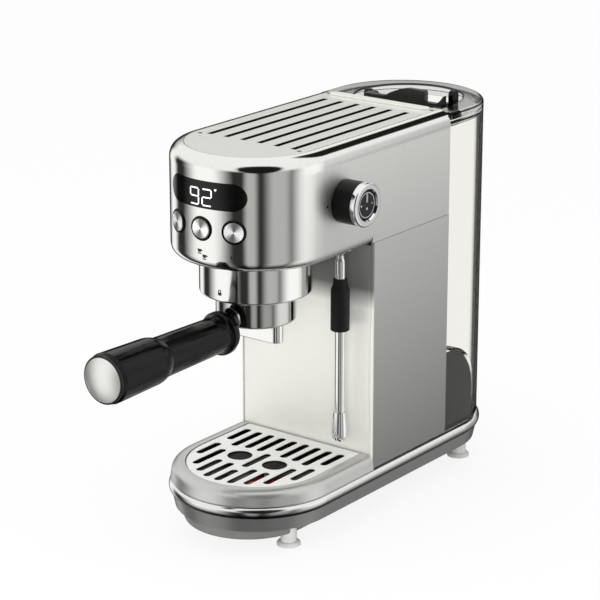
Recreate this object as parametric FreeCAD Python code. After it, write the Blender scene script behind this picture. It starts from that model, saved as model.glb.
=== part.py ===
import FreeCAD, Part
import math
import os

# Espresso machine, sizes in millimetres.
# Working frame: x = 0 is the plane of symmetry and +x the steam knob's side,
# y = 0 the column's front face with the front towards -y, z = 0 the counter under the feet.

# Overall form
body_half = 61.0            # half width of head, column and tank
group_reach = 59.0          # from the column's front face forward to the brewing group's axis
column_depth = 98.5         # from the column's front face to its back
tank_straight = 26.5        # from the column's back to the axis of the tank's round back
head_bottom = 212.0
head_height = 81.0
seam_rise = 2.0             # seam of head and column above the head's bottom
top_round = 10.0            # rounding of the head's upper edge
bottom_round = 8.0          # rounding of the head's lower edge
sheet = 1.5                 # thickness of the head's shell
panel = 1.2                 # thickness of the column's panels
panel_return = 9.0          # bent-in edges of the column's panels
panel_bend = 2.0
back_panel = 2.2            # thickness of the column's back

group_y = -group_reach
tank_round_y = column_depth + tank_straight
head_top = head_bottom + head_height
head_seam = head_bottom + seam_rise

# Clearances
seat_gap = 0.3              # between pieces that stand on or in each other
slip_gap = 0.4              # between pieces that slide past each other
run_gap = 0.05              # radial clearance of a shaft or ball in its seat

# Base
deck_top = 38.7             # top of the base, where column and tray stand
skirt_height = 19.7
skirt_tuck = 0.8            # skirt's lower edge inside the body's line
skirt_flare = 1.4           # its upper edge outside that line
base_nose = 1.0             # axis of the base's round front ahead of the group's axis
base_tail = 2.5             # axis of its round back ahead of the tank's
base_wall = 2.5
bead_height = 8.8
bead_proud = 2.3            # how far the bead stands out of the skirt
bead_land = 1.9             # width of the ledge that the bead sits on
cover_plate = 2.3
pan_margin = 9.4            # cover's flat rim beside the sunk pan
pan_nose = 10.0             # pan's front axis ahead of the group's
pan_tail = 7.0              # pan's back axis ahead of the tank's
pan_depth = 9.2
pan_wall = 2.2
pan_round = 2.5
cover_vent_count = 5
cover_vent_width = 4.0
cover_vent_length = 60.0
cover_screw_front = 20.0    # screws ahead of and behind the column's front
cover_screw_back = 90.0
cover_screw_radius = 1.5
cover_screw_head = 3.2
cover_screw_length = 9.0
foot_inset = 6.0            # feet inside the pan's edge
foot_ahead = 16.6           # front feet ahead of the group's axis
foot_behind = 22.0          # back feet behind the tank's axis
foot_radius = 8.8
foot_stem = 6.0
foot_pad = 3.2

# Drip tray, grille and float
tray_height = 11.4
tray_round = 6.6
tray_flare = 3.3            # how far the tray's foot spreads out over the bead
tray_floor = 1.8
tray_rear_wall = 1.4
tray_ledge = 2.4            # ledge that carries the grille
tray_rear_gap = 0.6         # between the tray and the column's front
grille_margin = 8.3         # tray's rim round the grille
grille_thick = 1.7
grille_sunk = 0.2
slot_columns = 4            # slot columns on each side of the middle one
slot_margin = 8.7           # outermost slots' axis inside the grille's edge
slot_width = 6.0
drain_radius = 9.4          # round holes under the two spouts
float_x = 18.0              # float beside the plane of symmetry
float_ahead = 17.0          # float ahead of the group's axis
float_length = 30.0
float_width = 16.0
float_height = 4.2
float_pin = 1.6

# Top panel
vent_count = 6
vent_pitch = 15.0
vent_width = 3.6
vent_ahead = 5.0            # slots' front ends ahead of the group's axis
vent_margin = 23.5          # slots' back ends ahead of the column's back
panel_flange = 2.3          # how far the panel's hidden flange reaches under the shell
panel_web = 2.4             # thickness of that flange
bar_margin = 10.5           # bar's front ahead of the column's back
bar_width = 8.6
bar_inset = 16.0            # bar's ends inside the body's sides
bar_height = 1.3
top_screw_radius = 1.7
back_screw_inset = 13.4     # back screws inside the body's sides
back_screw_margin = 6.2     # back screws ahead of the column's back
front_screw_inset = 16.5    # front screws inside the body's sides
front_screw_ahead = 7.0     # front screws ahead of the group's axis

# Display and buttons
display_above = 24.6        # display's middle above the buttons
display_half = 33.4
display_height = 19.8
window_depth = 2.7          # window's inner face below the shell's outer face
window_proud = 0.25
window_span = 120.0         # degrees
module_height = 15.0
module_border = 1.5
module_span = 50.0          # degrees
button_rise = 29.9          # buttons above the head's bottom
button_angles = {"left": -24.0, "middle": 0.0, "right": 24.0}
button_radius = 7.1
button_proud = 1.5          # cap's face beyond the shell
button_travel = 1.5
button_stem = 2.4
button_flange = 0.9
bezel_rim = 1.5
bezel_proud = 0.9
bezel_depth = 3.2
carrier_gap = 10.5          # outer face of the carrier behind the shell's outer face
carrier_thick = 2.0
carrier_span = 100.0        # degrees
switch_height = 2.3
switch_radius = 3.2

# Steam knob and valve
knob_behind = 23.8          # knob's axis behind the group's axis
knob_rise = 41.4            # and above the head's bottom
knob_radius = 16.1
knob_foot_radius = 15.7
knob_length = 20.7
knob_ring_length = 5.2
knob_floor = 2.5
knob_soft = 1.6             # rounding of the ring's outer edge
dial_step = 1.5             # wall of the knob round the dial
dial_radius = 10.6
dial_sunk = 1.4
dial_thick = 2.2
stem_radius = 3.0
valve_radius = 11.0
valve_length = 22.0
valve_nose = 5.0
port_radius = 4.0

# Steam wand
wand_inset = 19.5           # wand inside the body's side
wand_ahead = 13.0           # and ahead of the column
pivot_drop = 1.0            # ball's middle below the head's bottom
ball_radius = 7.0
nut_radius = 9.5
nut_height = 7.5
wand_neck = 3.0
wand_radius = 3.9
tip_clear = 10.3            # wand's tip above the grille
tip_radius = 6.0
tip_length = 23.5
tip_socket = 9.0
sleeve_drop = 24.0
sleeve_length = 39.4
sleeve_radius = 7.0
sleeve_shoulder = 7.0

# Brewing group
collar_radius = 41.0
collar_drop = 29.4          # collar's lower edge below the head's bottom
collar_lip = 4.4            # height of the lip that the lugs hang on
collar_bore = 34.0
collar_wall = 2.6
lug_count = 3
lug_angle = 30.0            # width of one lug in degrees
lug_first = 30.0            # direction of the first lug when locked
lock_turn = 45.0            # turn from the gaps in the lip to the locked place
lug_height = 5.0
gap_extra = 5.0             # gap in the lip wider than the lug, in degrees
gasket_height = 5.2
gasket_inner = 27.5
screen_radius = 25.0
screen_thick = 1.6
bolt_radius = 1.9           # screw that holds the shower screen
head_stub = 19.0
head_stub_rise = 12.0

# Portafilter
filter_radius = 29.3
filter_drop = 21.6          # bowl's bottom below the collar
filter_rim_radius = 33.4
filter_rim = 4.0            # rim above the lugs
filter_bore = 27.4
filter_floor = 5.0
basket_depth = 24.0
basket_wall = 0.9
basket_play = 0.9
basket_lip = 3.5
neck_radius = 8.0
handle_drop = 1.0           # handle's axis below the bowl's bottom
handle_flange_reach = 39.0  # distances forward of the group's axis
handle_step_reach = 110.0
handle_end_reach = 164.5
handle_flange = 16.0
handle_flange_length = 6.5
handle_slim = 13.4
handle_waist = 14.6
handle_thick = 17.0
step_length = 9.0           # length of the swell behind the thumb rest
handle_end = 18.2
tang_radius = 5.0
tang_length = 50.0
washer_thick = 1.9
cap_edge = 1.3
cap_dome = 3.7
cap_inset = 3.0             # chamfer at the grip's end
spout_x = 18.0
spout_drop = 15.0
spout_radius = 5.5
spout_bore = 3.2
spout_soft = 1.0
inlet_radius = 4.2

# Water tank
tank_gap = 0.8              # between the column's back and the tank
tank_wall = 2.2
lid_drop = 2.0              # lid's top below the head's top
lid_height = 7.0
lid_round = 2.5
lid_skirt = 4.0
dock_depth = 40.0
dock_height = 63.3
dock_round = 36.0
dock_wall = 4.0
dock_hollow = 24.0
lid_band = 18.5             # lid's band round its hole
opening_behind = 6.0        # hole's middle behind the axis of the round back
opening_margin = 6.0        # lid's strip in front of the hole
bail_behind = 9.0           # handle's pivot line behind the axis of the round back
bail_sunk = 5.0             # pivot line below the lid's top
bail_reach = 10.3           # from the pivot line forward to the handle's front
bail_width = 4.6
bail_height = 7.0
tab_half = 20.0             # finger tab in the middle of the handle
tab_height = 8.5
turn_height = 6.5           # upturned end of the handle
lug_width = 4.6
lug_radius = 3.6
lug_low = -0.5              # lugs above the lid's top
lug_high = 8.4
pin_radius = 1.5
outlet_behind = 41.0        # outlet behind the axis of the round back
outlet_radius = 5.0
valve_cap_radius = 8.0
seal_bore = 3.0

# Inner works
block_gap = 3.2             # between the heater block and the steam valve
block_ahead = 27.0          # block ahead of and behind the group's axis
block_behind = 37.0
block_height = 46.0
block_round = 4.0
groove_width = 4.0
groove_depth = 6.0
groove_count = 4
pump_radius = 19.0
pump_rise = 25.3            # pump's axis above the deck
pump_front_gap = 11.0       # pump behind the column's front and ahead of its back
pump_back_gap = 15.5
pump_coil = 44.0
pump_coil_length = 30.0
pump_tail = 9.0
pump_tail_length = 14.0
pump_port = 4.5
pump_foot = 48.0
board_inset = 11.0          # board inside the body's side
board_front_gap = 14.0      # board behind the column's front and ahead of its back
board_back_gap = 14.5
board_rise = 61.3
board_drop = 22.0
board_thick = 1.6
board_post = 3.0
hose_radius = 3.2
hose_bend = 14.0
supply_bend = 5.0
gland_radius = 4.6
gland_wall = 2.4
gland_angle = 122.0         # direction of the cord gland round the base's back end

os.makedirs("parts", exist_ok=True)
V = FreeCAD.Vector
UP = V(0, 0, 1)
ACROSS = V(1, 0, 0)

# Derived levels and lines
skirt_bottom = deck_top - skirt_height
bead_bottom = deck_top - bead_height
skirt_half_low = body_half - skirt_tuck
skirt_half_high = body_half + skirt_flare
base_front_y = group_y - base_nose
base_back_y = tank_round_y - base_tail
cover_bottom = skirt_bottom + 0.5 * slip_gap
cover_edge = skirt_half_low - base_wall - seat_gap
pan_half = cover_edge - pan_margin
pan_front_y = group_y - pan_nose
pan_back_y = tank_round_y - pan_tail
cover_screw_x = (pan_half + cover_edge) / 2
cover_screw_front_y = -cover_screw_front
cover_screw_back_y = cover_screw_back
foot_x = pan_half - foot_inset
foot_front_y = group_y - foot_ahead
foot_back_y = tank_round_y + foot_behind
pan_bottom = cover_bottom - pan_depth
tray_bottom = deck_top + seat_gap
tray_top = tray_bottom + tray_height
grille_top = tray_top - grille_sunk
grille_bottom = grille_top - grille_thick
grille_half = body_half - grille_margin
grille_step = (grille_half - slot_margin) / slot_columns
float_y = group_y - float_ahead
grille_back = -tray_rear_gap - tray_rear_wall - slip_gap
vent_front_y = group_y - vent_ahead
vent_back_y = column_depth - vent_margin
bar_front_y = column_depth - bar_margin
bar_half = body_half - bar_inset
top_screw_x = body_half - back_screw_inset
top_screw_back_y = column_depth - back_screw_margin
top_screw_front_x = body_half - front_screw_inset
top_screw_front_y = group_y - front_screw_ahead
shell_back = column_depth - seat_gap
back_front = column_depth - back_panel
inner_half = body_half - sheet
lip_half = body_half - bottom_round - 1.0
panel_depth = sheet + seat_gap + panel_web
button_z = head_bottom + button_rise
display_z = button_z + display_above
knob_y = group_y + knob_behind
knob_z = head_bottom + knob_rise
carrier_radius = body_half - carrier_gap
window_inner = body_half - window_depth
bezel_outer = button_radius + slip_gap + bezel_rim
stem_inside = 0.82 * valve_length
stem_end = knob_length - dial_sunk - knob_floor - seat_gap
wand_x = body_half - wand_inset
wand_y = -wand_ahead
wand_pivot_z = head_bottom - pivot_drop
tip_bottom = grille_top + tip_clear
tip_top = tip_bottom + tip_length
sleeve_top = wand_pivot_z - sleeve_drop
sleeve_bottom = sleeve_top - sleeve_length
collar_bottom = head_bottom - collar_drop
collar_inner = collar_radius - collar_wall
groove_bottom = collar_bottom + collar_lip
lug_bottom = groove_bottom + seat_gap
filter_bottom = collar_bottom - filter_drop
filter_top = lug_bottom + lug_height + filter_rim
basket_lip_top = filter_top + seat_gap + basket_wall
gasket_bottom = basket_lip_top + slip_gap
gasket_top = gasket_bottom + gasket_height
handle_z = filter_bottom - handle_drop
handle_flange_y = group_y - handle_flange_reach
handle_length = handle_end_reach - handle_flange_reach
spout_bottom = filter_bottom - spout_drop
drain_x = 0.905 * spout_x
tank_front_y = column_depth + tank_gap
tank_bottom = deck_top + 2 * seat_gap
lid_top = head_top - lid_drop
tank_top = lid_top - lid_height
lid_bottom = tank_top + seat_gap
dock_top = deck_top + dock_height
dock_half = body_half - tank_wall - 3 * slip_gap
outlet_y = tank_round_y + outlet_behind
opening_radius = body_half - lid_band
opening_front_y = tank_front_y + opening_margin
opening_y = tank_round_y + opening_behind
bail_y = tank_round_y + bail_behind
bail_z = lid_top - bail_sunk
lug_outer = math.sqrt(opening_radius ** 2 - (bail_y + lug_radius - opening_y) ** 2) - seat_gap
lug_x = lug_outer - lug_width / 2
seal_end = deck_top - 1.8 * base_wall
block_x = body_half - sheet - seat_gap - valve_length - block_gap
block_front_y = group_y - block_ahead
block_back_y = group_y + block_behind
block_bottom = head_bottom + head_stub_rise + seat_gap
pump_front_y = pump_front_gap
pump_back_y = column_depth - pump_back_gap
board_x = -body_half + board_inset
board_front_y = board_front_gap
board_back_y = column_depth - board_back_gap
pump_z = deck_top + pump_rise
elbow_y = pump_back_y + 1.3 * pump_port
elbow_low = pump_z - 3 * pump_port
nozzle_y = pump_front_y + 2 * pump_port
nozzle_top = pump_z + pump_radius + 2 * pump_port


def box(x0, x1, y0, y1, z0, z1):
    return Part.makeBox(x1 - x0, y1 - y0, z1 - z0, V(x0, y0, z0))


def rod(radius, start, end):
    way = end - start
    return Part.makeCylinder(radius, way.Length, start, way)


def arc_to(cx, cz, radius, start, end):
    # end point and middle point of an arc given by its centre and two directions in degrees
    middle = math.radians((start + end) / 2)
    last = math.radians(end)
    return (cx + radius * math.cos(last), cz + radius * math.sin(last),
            cx + radius * math.cos(middle), cz + radius * math.sin(middle))


def dome_to(radius, start, height):
    # top and middle point of a spherical dome's arc that starts at a rim
    ball = (radius ** 2 + height ** 2) / (2 * height)
    half = math.asin(radius / ball) / 2
    return (0, start + height, ball * math.sin(half), start + height - ball + ball * math.cos(half))


def outline(steps, lift=lambda a, b: V(a, 0, b)):
    # closed face: each step is a point to run to, or a point and an arc's middle point
    points = [lift(s[0], s[1]) for s in steps]
    edges = []
    for i in range(len(steps)):
        here = points[i]
        step = steps[(i + 1) % len(steps)]
        there = points[(i + 1) % len(steps)]
        if (there - here).Length < 1e-6:
            continue
        if len(step) == 4 and i + 1 < len(steps):
            edges.append(Part.Arc(here, lift(step[2], step[3]), there).toShape())
        else:
            edges.append(Part.LineSegment(here, there).toShape())
    return Part.Face(Part.Wire(edges))


def turned(steps, centre, axis=UP, angle=360.0):
    # solid of revolution: each step is (radius, distance along the axis)
    solid = outline(steps).revolve(V(0, 0, 0), UP, angle)
    solid.Placement = FreeCAD.Placement(centre, FreeCAD.Rotation(UP, axis))
    return solid


def sector(inner, outer, z0, z1, middle, width, x, y):
    # piece of a ring about a vertical axis
    face = outline([(inner, z0), (outer, z0), (outer, z1), (inner, z1)])
    face.rotate(V(0, 0, 0), UP, middle - width / 2)
    piece = face.revolve(V(0, 0, 0), UP, width)
    piece.translate(V(x, y, 0))
    return piece


def front_wrap(face, y_round, y_end):
    # carries a section round the half circle at the front and straight back on both sides
    face.translate(V(0, y_round, 0))
    nose = face.revolve(V(0, y_round, 0), UP, -180)
    side = face.extrude(V(0, y_end - y_round, 0))
    return nose.fuse([side, side.mirror(V(0, 0, 0), ACROSS)]).removeSplitter()


def both_wrap(steps, y_front, y_back):
    # the same with a half circle at the back too
    tail = outline(steps)
    tail.translate(V(0, y_back, 0))
    tail = tail.revolve(V(0, y_back, 0), UP, 180)
    return front_wrap(outline(steps), y_front, y_back).fuse(tail).removeSplitter()


def dee(half, y_flat, y_round, z0, z1):
    # prism with a flat at one end and a half circle at the other
    side = 1 if y_round > y_flat else -1
    tip = V(0, y_round + side * half, z0)
    right, left = V(half, y_round, z0), V(-half, y_round, z0)
    corner_right, corner_left = V(half, y_flat, z0), V(-half, y_flat, z0)
    edges = [Part.Arc(right, tip, left).toShape(),
             Part.LineSegment(left, corner_left).toShape(),
             Part.LineSegment(corner_left, corner_right).toShape(),
             Part.LineSegment(corner_right, right).toShape()]
    return Part.Face(Part.Wire(edges)).extrude(V(0, 0, z1 - z0))


def slot(x, y0, y1, width, z0, z1):
    # upright prism with round ends, along y
    r = width / 2
    return box(x - r, x + r, y0 + r, y1 - r, z0, z1).fuse([
        Part.makeCylinder(r, z1 - z0, V(x, y0 + r, z0)),
        Part.makeCylinder(r, z1 - z0, V(x, y1 - r, z0))]).removeSplitter()


def around_group(radius, angle, z):
    # point at a distance from the group's axis, angle 0 being the front
    turn = math.radians(angle)
    return V(radius * math.sin(turn), group_y - radius * math.cos(turn), z)


def bare(solids):
    return Part.makeCompound(solids)


# Base

def make_base_shell():
    bead_floor = bead_bottom - seat_gap
    ledge = skirt_half_high - bead_land
    shell = both_wrap([
        (skirt_half_low, skirt_bottom), (skirt_half_high, bead_floor), (ledge, bead_floor),
        (ledge, deck_top), (0, deck_top), (0, deck_top - base_wall),
        (skirt_half_low - base_wall, deck_top - base_wall),
        (skirt_half_low - base_wall, skirt_bottom)], base_front_y, base_back_y)
    under = deck_top - 2 * base_wall
    return shell.cut([
        Part.makeCylinder(valve_cap_radius + seat_gap, 4 * base_wall, V(0, outlet_y, under)),
        Part.makeCylinder(hose_radius + 5 * seat_gap, 4 * base_wall, V(0, elbow_y, under)),
        gland_axis_rod(gland_radius + seat_gap / 3, 4 * base_wall, 8 * base_wall)])


def gland_axis_rod(radius, inward, outward):
    # rod through the skirt's back, reaching in and out from the skirt's inner face
    turn = math.radians(gland_angle)
    way = V(math.cos(turn), math.sin(turn), 0)
    middle = V(0, base_back_y, (skirt_bottom + bead_bottom) / 2) + way * (skirt_half_low - base_wall)
    return rod(radius, middle - way * inward, middle + way * outward)


def make_base_trim_ring():
    inner = skirt_half_high - bead_land + seat_gap
    top = deck_top - seat_gap
    middle = bead_bottom + 0.45 * bead_height
    return both_wrap([
        (inner, bead_bottom), (skirt_half_high + 0.1 * bead_proud, bead_bottom),
        (inner + 0.5 * bead_land, top, skirt_half_high + bead_proud, middle), (inner, top)],
        base_front_y, base_back_y)


def make_base_cover():
    plate_top = cover_bottom + cover_plate
    plate = both_wrap([
        (0, cover_bottom), (cover_edge, cover_bottom), (cover_edge, plate_top), (0, plate_top)],
        base_front_y, base_back_y)
    pan = both_wrap([
        (0, pan_bottom), (pan_half - pan_round, pan_bottom),
        arc_to(pan_half - pan_round, pan_bottom + pan_round, pan_round, -90, 0),
        (pan_half, plate_top), (0, plate_top)], pan_front_y, pan_back_y)
    hollow = both_wrap([
        (0, pan_bottom + pan_wall), (pan_half - pan_round, pan_bottom + pan_wall),
        (pan_half - pan_wall, pan_bottom + pan_round), (pan_half - pan_wall, plate_top + cover_plate),
        (0, plate_top + cover_plate)], pan_front_y, pan_back_y)
    vents = []
    for i in range(cover_vent_count):
        x = 3 * cover_vent_width * (i - (cover_vent_count - 1) / 2)
        vents.append(slot(x, -cover_vent_length / 2, cover_vent_length / 2, cover_vent_width,
                          pan_bottom - pan_wall, pan_bottom + 2 * pan_wall))
    posts = [Part.makeCylinder(foot_stem + slip_gap, cover_bottom, V(x, y, 0)) for x, y in foot_places()]
    bores = [Part.makeCylinder(cover_screw_radius + seat_gap, 2 * pan_depth, V(x, y, pan_bottom))
             for x, y in cover_screw_places()]
    return plate.fuse(pan).cut([hollow]).cut(vents + posts + bores)


def foot_places():
    return [(x, y) for x in (-foot_x, foot_x) for y in (foot_front_y, foot_back_y)]


def cover_screw_places():
    return [(side * cover_screw_x, y) for side in (-1, 1) for y in (cover_screw_front_y, cover_screw_back_y)]


def make_feet():
    top = cover_bottom - seat_gap / 2
    shoulder = foot_stem + 0.64 * (foot_radius - foot_stem)
    steps = [
        (0, 0), (foot_radius, 0), (foot_radius, 0.44 * foot_pad),
        (foot_stem, foot_pad, shoulder, 0.84 * foot_pad), (foot_stem, top), (0, top)]
    return bare([turned(steps, V(x, y, 0)) for x, y in foot_places()])


def make_cover_screws():
    under = cover_bottom - seat_gap / 2
    low = cover_bottom - 0.6 * cover_screw_head
    end = cover_bottom + cover_screw_length
    return bare([turned([
        (0, low), (cover_screw_head / 2, low), (cover_screw_head, under), (cover_screw_radius, under),
        (cover_screw_radius, end), (0, end)], V(x, y, 0)) for x, y in cover_screw_places()])


def make_cord_gland():
    start = -seat_gap / 2
    body = gland_axis_rod(gland_radius, start, 2.2 * base_wall)
    nose = gland_axis_rod(0.8 * gland_radius, start, 2.8 * base_wall)
    bore = gland_axis_rod(gland_radius - gland_wall, 4 * base_wall, 8 * base_wall)
    return body.fuse(nose).cut(bore).removeSplitter()


# Drip tray

def make_drip_tray():
    low, high = tray_bottom, tray_top
    foot = body_half - seat_gap + tray_flare
    shoulder = foot - 0.2 * tray_flare
    waist = high - tray_round
    seat = grille_bottom - seat_gap
    rim = grille_half + slip_gap
    back = -tray_rear_gap
    section = [
        (0, low), (foot, low), (foot, low + 0.5 * tray_floor), (shoulder, waist),
        arc_to(shoulder - tray_round, waist, tray_round, 0, 90),
        (rim, high), (rim, seat), (rim - tray_ledge, seat), (rim - 1.2 * tray_ledge, low + tray_floor),
        (0, low + tray_floor)]
    tray = front_wrap(outline(section), group_y, back)
    rear = box(-rim, rim, back - tray_rear_wall, back, low, high)
    ledge = box(-rim, rim, back - tray_rear_wall - tray_ledge, back, low, seat)
    pin = Part.makeCylinder(float_pin, seat - low - slip_gap, V(float_x, float_y, low))
    return tray.fuse([rear, ledge, pin]).removeSplitter()


def grille_slots():
    # column number from the middle, then both ends of each slot as shares of the way
    # from the group's axis to the grille's front edge (-1) or back edge (+1)
    return {0: [(-0.924, -0.457), (-0.311, 0.265), (0.415, 0.834)],
            1: [(-0.901, -0.288), (0.265, 0.839)],
            2: [(-0.801, -0.285), (0.261, 0.837)],
            3: [(-0.630, 0.048), (0.219, 0.825)],
            4: [(-0.296, 0.193), (0.367, 0.830)]}


def grille_line(share):
    return group_y + share * (grille_half if share < 0 else grille_back - group_y)


def make_drip_grille():
    low, high = grille_bottom, grille_top
    soft = 0.4 * grille_thick
    under, over = low - grille_thick, high + grille_thick
    plate = front_wrap(outline([
        (0, low), (grille_half, low), (grille_half, high - soft), (grille_half - soft, high), (0, high)]),
        group_y, grille_back)
    cuts = []
    for column, spans in grille_slots().items():
        for side in ((1,) if column == 0 else (-1, 1)):
            x = side * column * grille_step
            for front, rear in spans:
                cuts.append(slot(x, grille_line(front), grille_line(rear), slot_width, under, over))
    for side in (-1, 1):
        cuts.append(Part.makeCylinder(drain_radius, over - under, V(side * drain_x, group_y, under)))
    return plate.cut(cuts)


def make_drip_float():
    low = tray_bottom + tray_floor + seat_gap
    high = low + float_height
    body = slot(float_x, float_y - float_length / 2, float_y + float_length / 2, float_width, low, high)
    top = [e for e in body.Edges if e.BoundBox.ZMin > high - 0.01]
    return body.makeFillet(0.28 * float_height, top).cut(
        Part.makeCylinder(float_pin + slip_gap, 3 * float_height, V(float_x, float_y, low - float_height)))


# Column

def make_column_front():
    half = body_half - panel - seat_gap
    low, high = deck_top + seat_gap, head_bottom - slip_gap
    bend, edge = panel_bend, panel_return
    plan = outline([
        (-half, edge), (-half, bend), arc_to(-half + bend, bend, bend, 180, 270), (half - bend, 0),
        arc_to(half - bend, bend, bend, 270, 360), (half, edge), (half - panel, edge), (half - panel, bend),
        arc_to(half - bend, bend, bend - panel, 360, 270), (-half + bend, panel),
        arc_to(-half + bend, bend, bend - panel, 270, 180), (-half + panel, edge)],
        lambda a, b: V(a, b, low))
    return plan.extrude(V(0, 0, high - low))


def make_column_side(side):
    outer, inner = side * body_half, side * (body_half - panel)
    low, high = deck_top + seat_gap, head_seam - seat_gap
    lap_y = back_front - seat_gap
    lap = side * (body_half - panel_return)
    plan = outline([
        (inner, 0), (outer, 0), (outer, column_depth), (inner, column_depth), (inner, lap_y), (lap, lap_y),
        (lap, lap_y - panel), (inner, lap_y - panel)], lambda a, b: V(a, b, low))
    return plan.extrude(V(0, 0, high - low))


def make_column_back():
    half = inner_half - slip_gap
    low, high = deck_top + seat_gap, head_top - panel_depth - seat_gap
    soft = top_round - sheet
    plate = outline([
        (-half, low), (half, low), (half, high - soft), arc_to(half - soft, high - soft, soft, 0, 90),
        (-half + soft, high), arc_to(-half + soft, high - soft, soft, 90, 180)],
        lambda a, b: V(a, back_front, b)).extrude(V(0, back_panel, 0))
    margin = 0.1 * (high - low)
    ribs = [box(side * half / 2 - panel, side * half / 2 + panel, back_front - 2 * back_panel, column_depth,
                low + margin, high - margin) for side in (-1, 1)]
    return plate.fuse(ribs).removeSplitter()


# Head

def shell_section(with_round):
    high = head_top - top_round
    low = head_bottom + bottom_round
    upper = [
        (body_half, high), arc_to(body_half - top_round, high, top_round, 0, 90),
        (body_half - top_round - seat_gap, head_top), (body_half - top_round - seat_gap, head_top - sheet),
        (body_half - top_round, head_top - sheet),
        arc_to(body_half - top_round, high, top_round - sheet, 90, 0)]
    if not with_round:
        return [(inner_half, head_seam), (body_half, head_seam)] + upper
    centre = body_half - bottom_round
    return [(lip_half, head_bottom), (centre, head_bottom), arc_to(centre, low, bottom_round, -90, 0)] \
        + upper + [(inner_half, low), arc_to(centre, low, bottom_round - sheet, 0, -90),
                   (lip_half, head_bottom + sheet)]


def make_head_shell():
    front = front_wrap(outline(shell_section(True)), group_y, 0)
    side = outline(shell_section(False)).extrude(V(0, shell_back, 0))
    shell = front.fuse([side, side.mirror(V(0, 0, 0), ACROSS)]).removeSplitter()
    holes = [display_prism(0)]
    for angle in button_angles.values():
        holes.append(rod(bezel_outer, around_group(body_half - carrier_gap, angle, button_z),
                         around_group(body_half + carrier_gap, angle, button_z)))
    holes.append(rod(stem_radius + 3 * seat_gap, V(body_half - 3 * sheet, knob_y, knob_z),
                     V(body_half + 3 * sheet, knob_y, knob_z)))
    return shell.cut(holes)


def make_head_bottom_plate():
    low = head_bottom
    step = low + sheet + seat_gap
    high = step + sheet
    plug, flange = lip_half - seat_gap, lip_half + sheet
    section = [(0, low), (plug, low), (plug, step), (flange, step), (flange, high), (0, high)]
    plate = front_wrap(outline(section), group_y, -seat_gap)
    under = low - 2 * sheet
    return plate.cut([
        Part.makeCylinder(head_stub + seat_gap, 8 * sheet, V(0, group_y, under)),
        Part.makeCylinder(nut_radius + seat_gap, 8 * sheet, V(wand_x, wand_y, under))])


def vent_lines():
    first = -vent_pitch * (vent_count - 1) / 2
    return [first + vent_pitch * i for i in range(vent_count)]


def top_screw_places():
    return [(side * top_screw_x, top_screw_back_y) for side in (-1, 1)] \
        + [(side * top_screw_front_x, top_screw_front_y) for side in (-1, 1)]


def make_top_panel():
    half = body_half - top_round - 2 * seat_gap
    under = head_top - sheet - seat_gap
    low = head_top - panel_depth
    plate = front_wrap(outline([
        (0, low), (half + panel_flange, low), (half + panel_flange, under), (half, under),
        (half, head_top), (0, head_top)]), group_y, shell_back)
    cuts = [slot(x, vent_front_y, vent_back_y, vent_width, low - sheet, head_top + sheet)
            for x in vent_lines()]
    cuts += [Part.makeCylinder(top_screw_radius + seat_gap / 2, 3 * panel_depth, V(x, y, low - panel_depth))
             for x, y in top_screw_places()]
    return plate.cut(cuts)


def make_rear_trim_bar():
    low = head_top + seat_gap / 3
    high = head_top + bar_height
    bar = slot(0, -bar_half, bar_half, bar_width, low, high)
    bar.rotate(V(0, 0, 0), UP, 90)
    bar.translate(V(0, bar_front_y + bar_width / 2, 0))
    top = [e for e in bar.Edges if e.BoundBox.ZMin > high - 0.01]
    return bar.makeFillet(0.4 * bar_height, top)


def make_top_screws():
    low = head_top - panel_depth
    radius = top_screw_radius
    face = head_top - seat_gap
    shank = 0.7 * radius
    return bare([turned([
        (0, low - 2 * radius), (shank, low - 2 * radius), (shank, low), (radius, low), (radius, face),
        (radius / 2, face), (radius / 2, face - 0.6 * radius), (0, face - 0.6 * radius)], V(x, y, 0))
        for x, y in top_screw_places()])


# Display and buttons

def display_prism(gap):
    # upright rounded window, seen from the front
    h = display_height / 2 - gap
    w = display_half - gap - h
    face = outline([
        (-w, display_z - h), (w, display_z - h), arc_to(w, display_z, h, -90, 90),
        (-w, display_z + h), arc_to(-w, display_z, h, 90, 270)],
        lambda a, b: V(a, group_y - 1.1 * body_half, b))
    return face.extrude(V(0, body_half * 0.75, 0))


def bent_band(inner, outer, z0, z1, span):
    return sector(inner, outer, z0, z1, -90, span, 0, group_y)


def make_display_window():
    low, high = display_z - display_height, display_z + display_height
    band = bent_band(window_inner, body_half + window_proud, low, high, window_span)
    return band.common(display_prism(seat_gap / 2))


def make_display_module():
    high = window_inner - seat_gap
    half = module_height / 2
    face = half - module_border
    body = bent_band(carrier_radius + seat_gap, high, display_z - half, display_z + half, module_span)
    return body.cut(bent_band(high - 2 * seat_gap, high + window_depth, display_z - face, display_z + face,
                              0.88 * module_span))


def make_front_carrier():
    low, high = button_z - 2 * button_radius, display_z + 0.6 * display_height
    rib_span = 0.03 * carrier_span
    inner = carrier_radius - carrier_thick
    band = bent_band(inner, carrier_radius, low, high, carrier_span)
    lean = carrier_span / 2 - rib_span
    ribs = [sector(inner, inner_half - seat_gap, low, high, -90 + side * lean, rib_span, 0, group_y)
            for side in (-1, 1)]
    holes = []
    for side in (-1, 1):
        angle = side * 0.38 * carrier_span
        holes.append(rod(0.75 * carrier_thick, around_group(inner - carrier_thick, angle, display_z),
                         around_group(carrier_radius + carrier_thick, angle, display_z)))
    return band.fuse(ribs).removeSplitter().cut(holes)


def along_button(angle, steps):
    # turned piece on a button's axis; distances are measured from the group's axis
    turn = math.radians(angle)
    way = V(math.sin(turn), -math.cos(turn), 0)
    return turned(steps, V(0, group_y, button_z), way)


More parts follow.
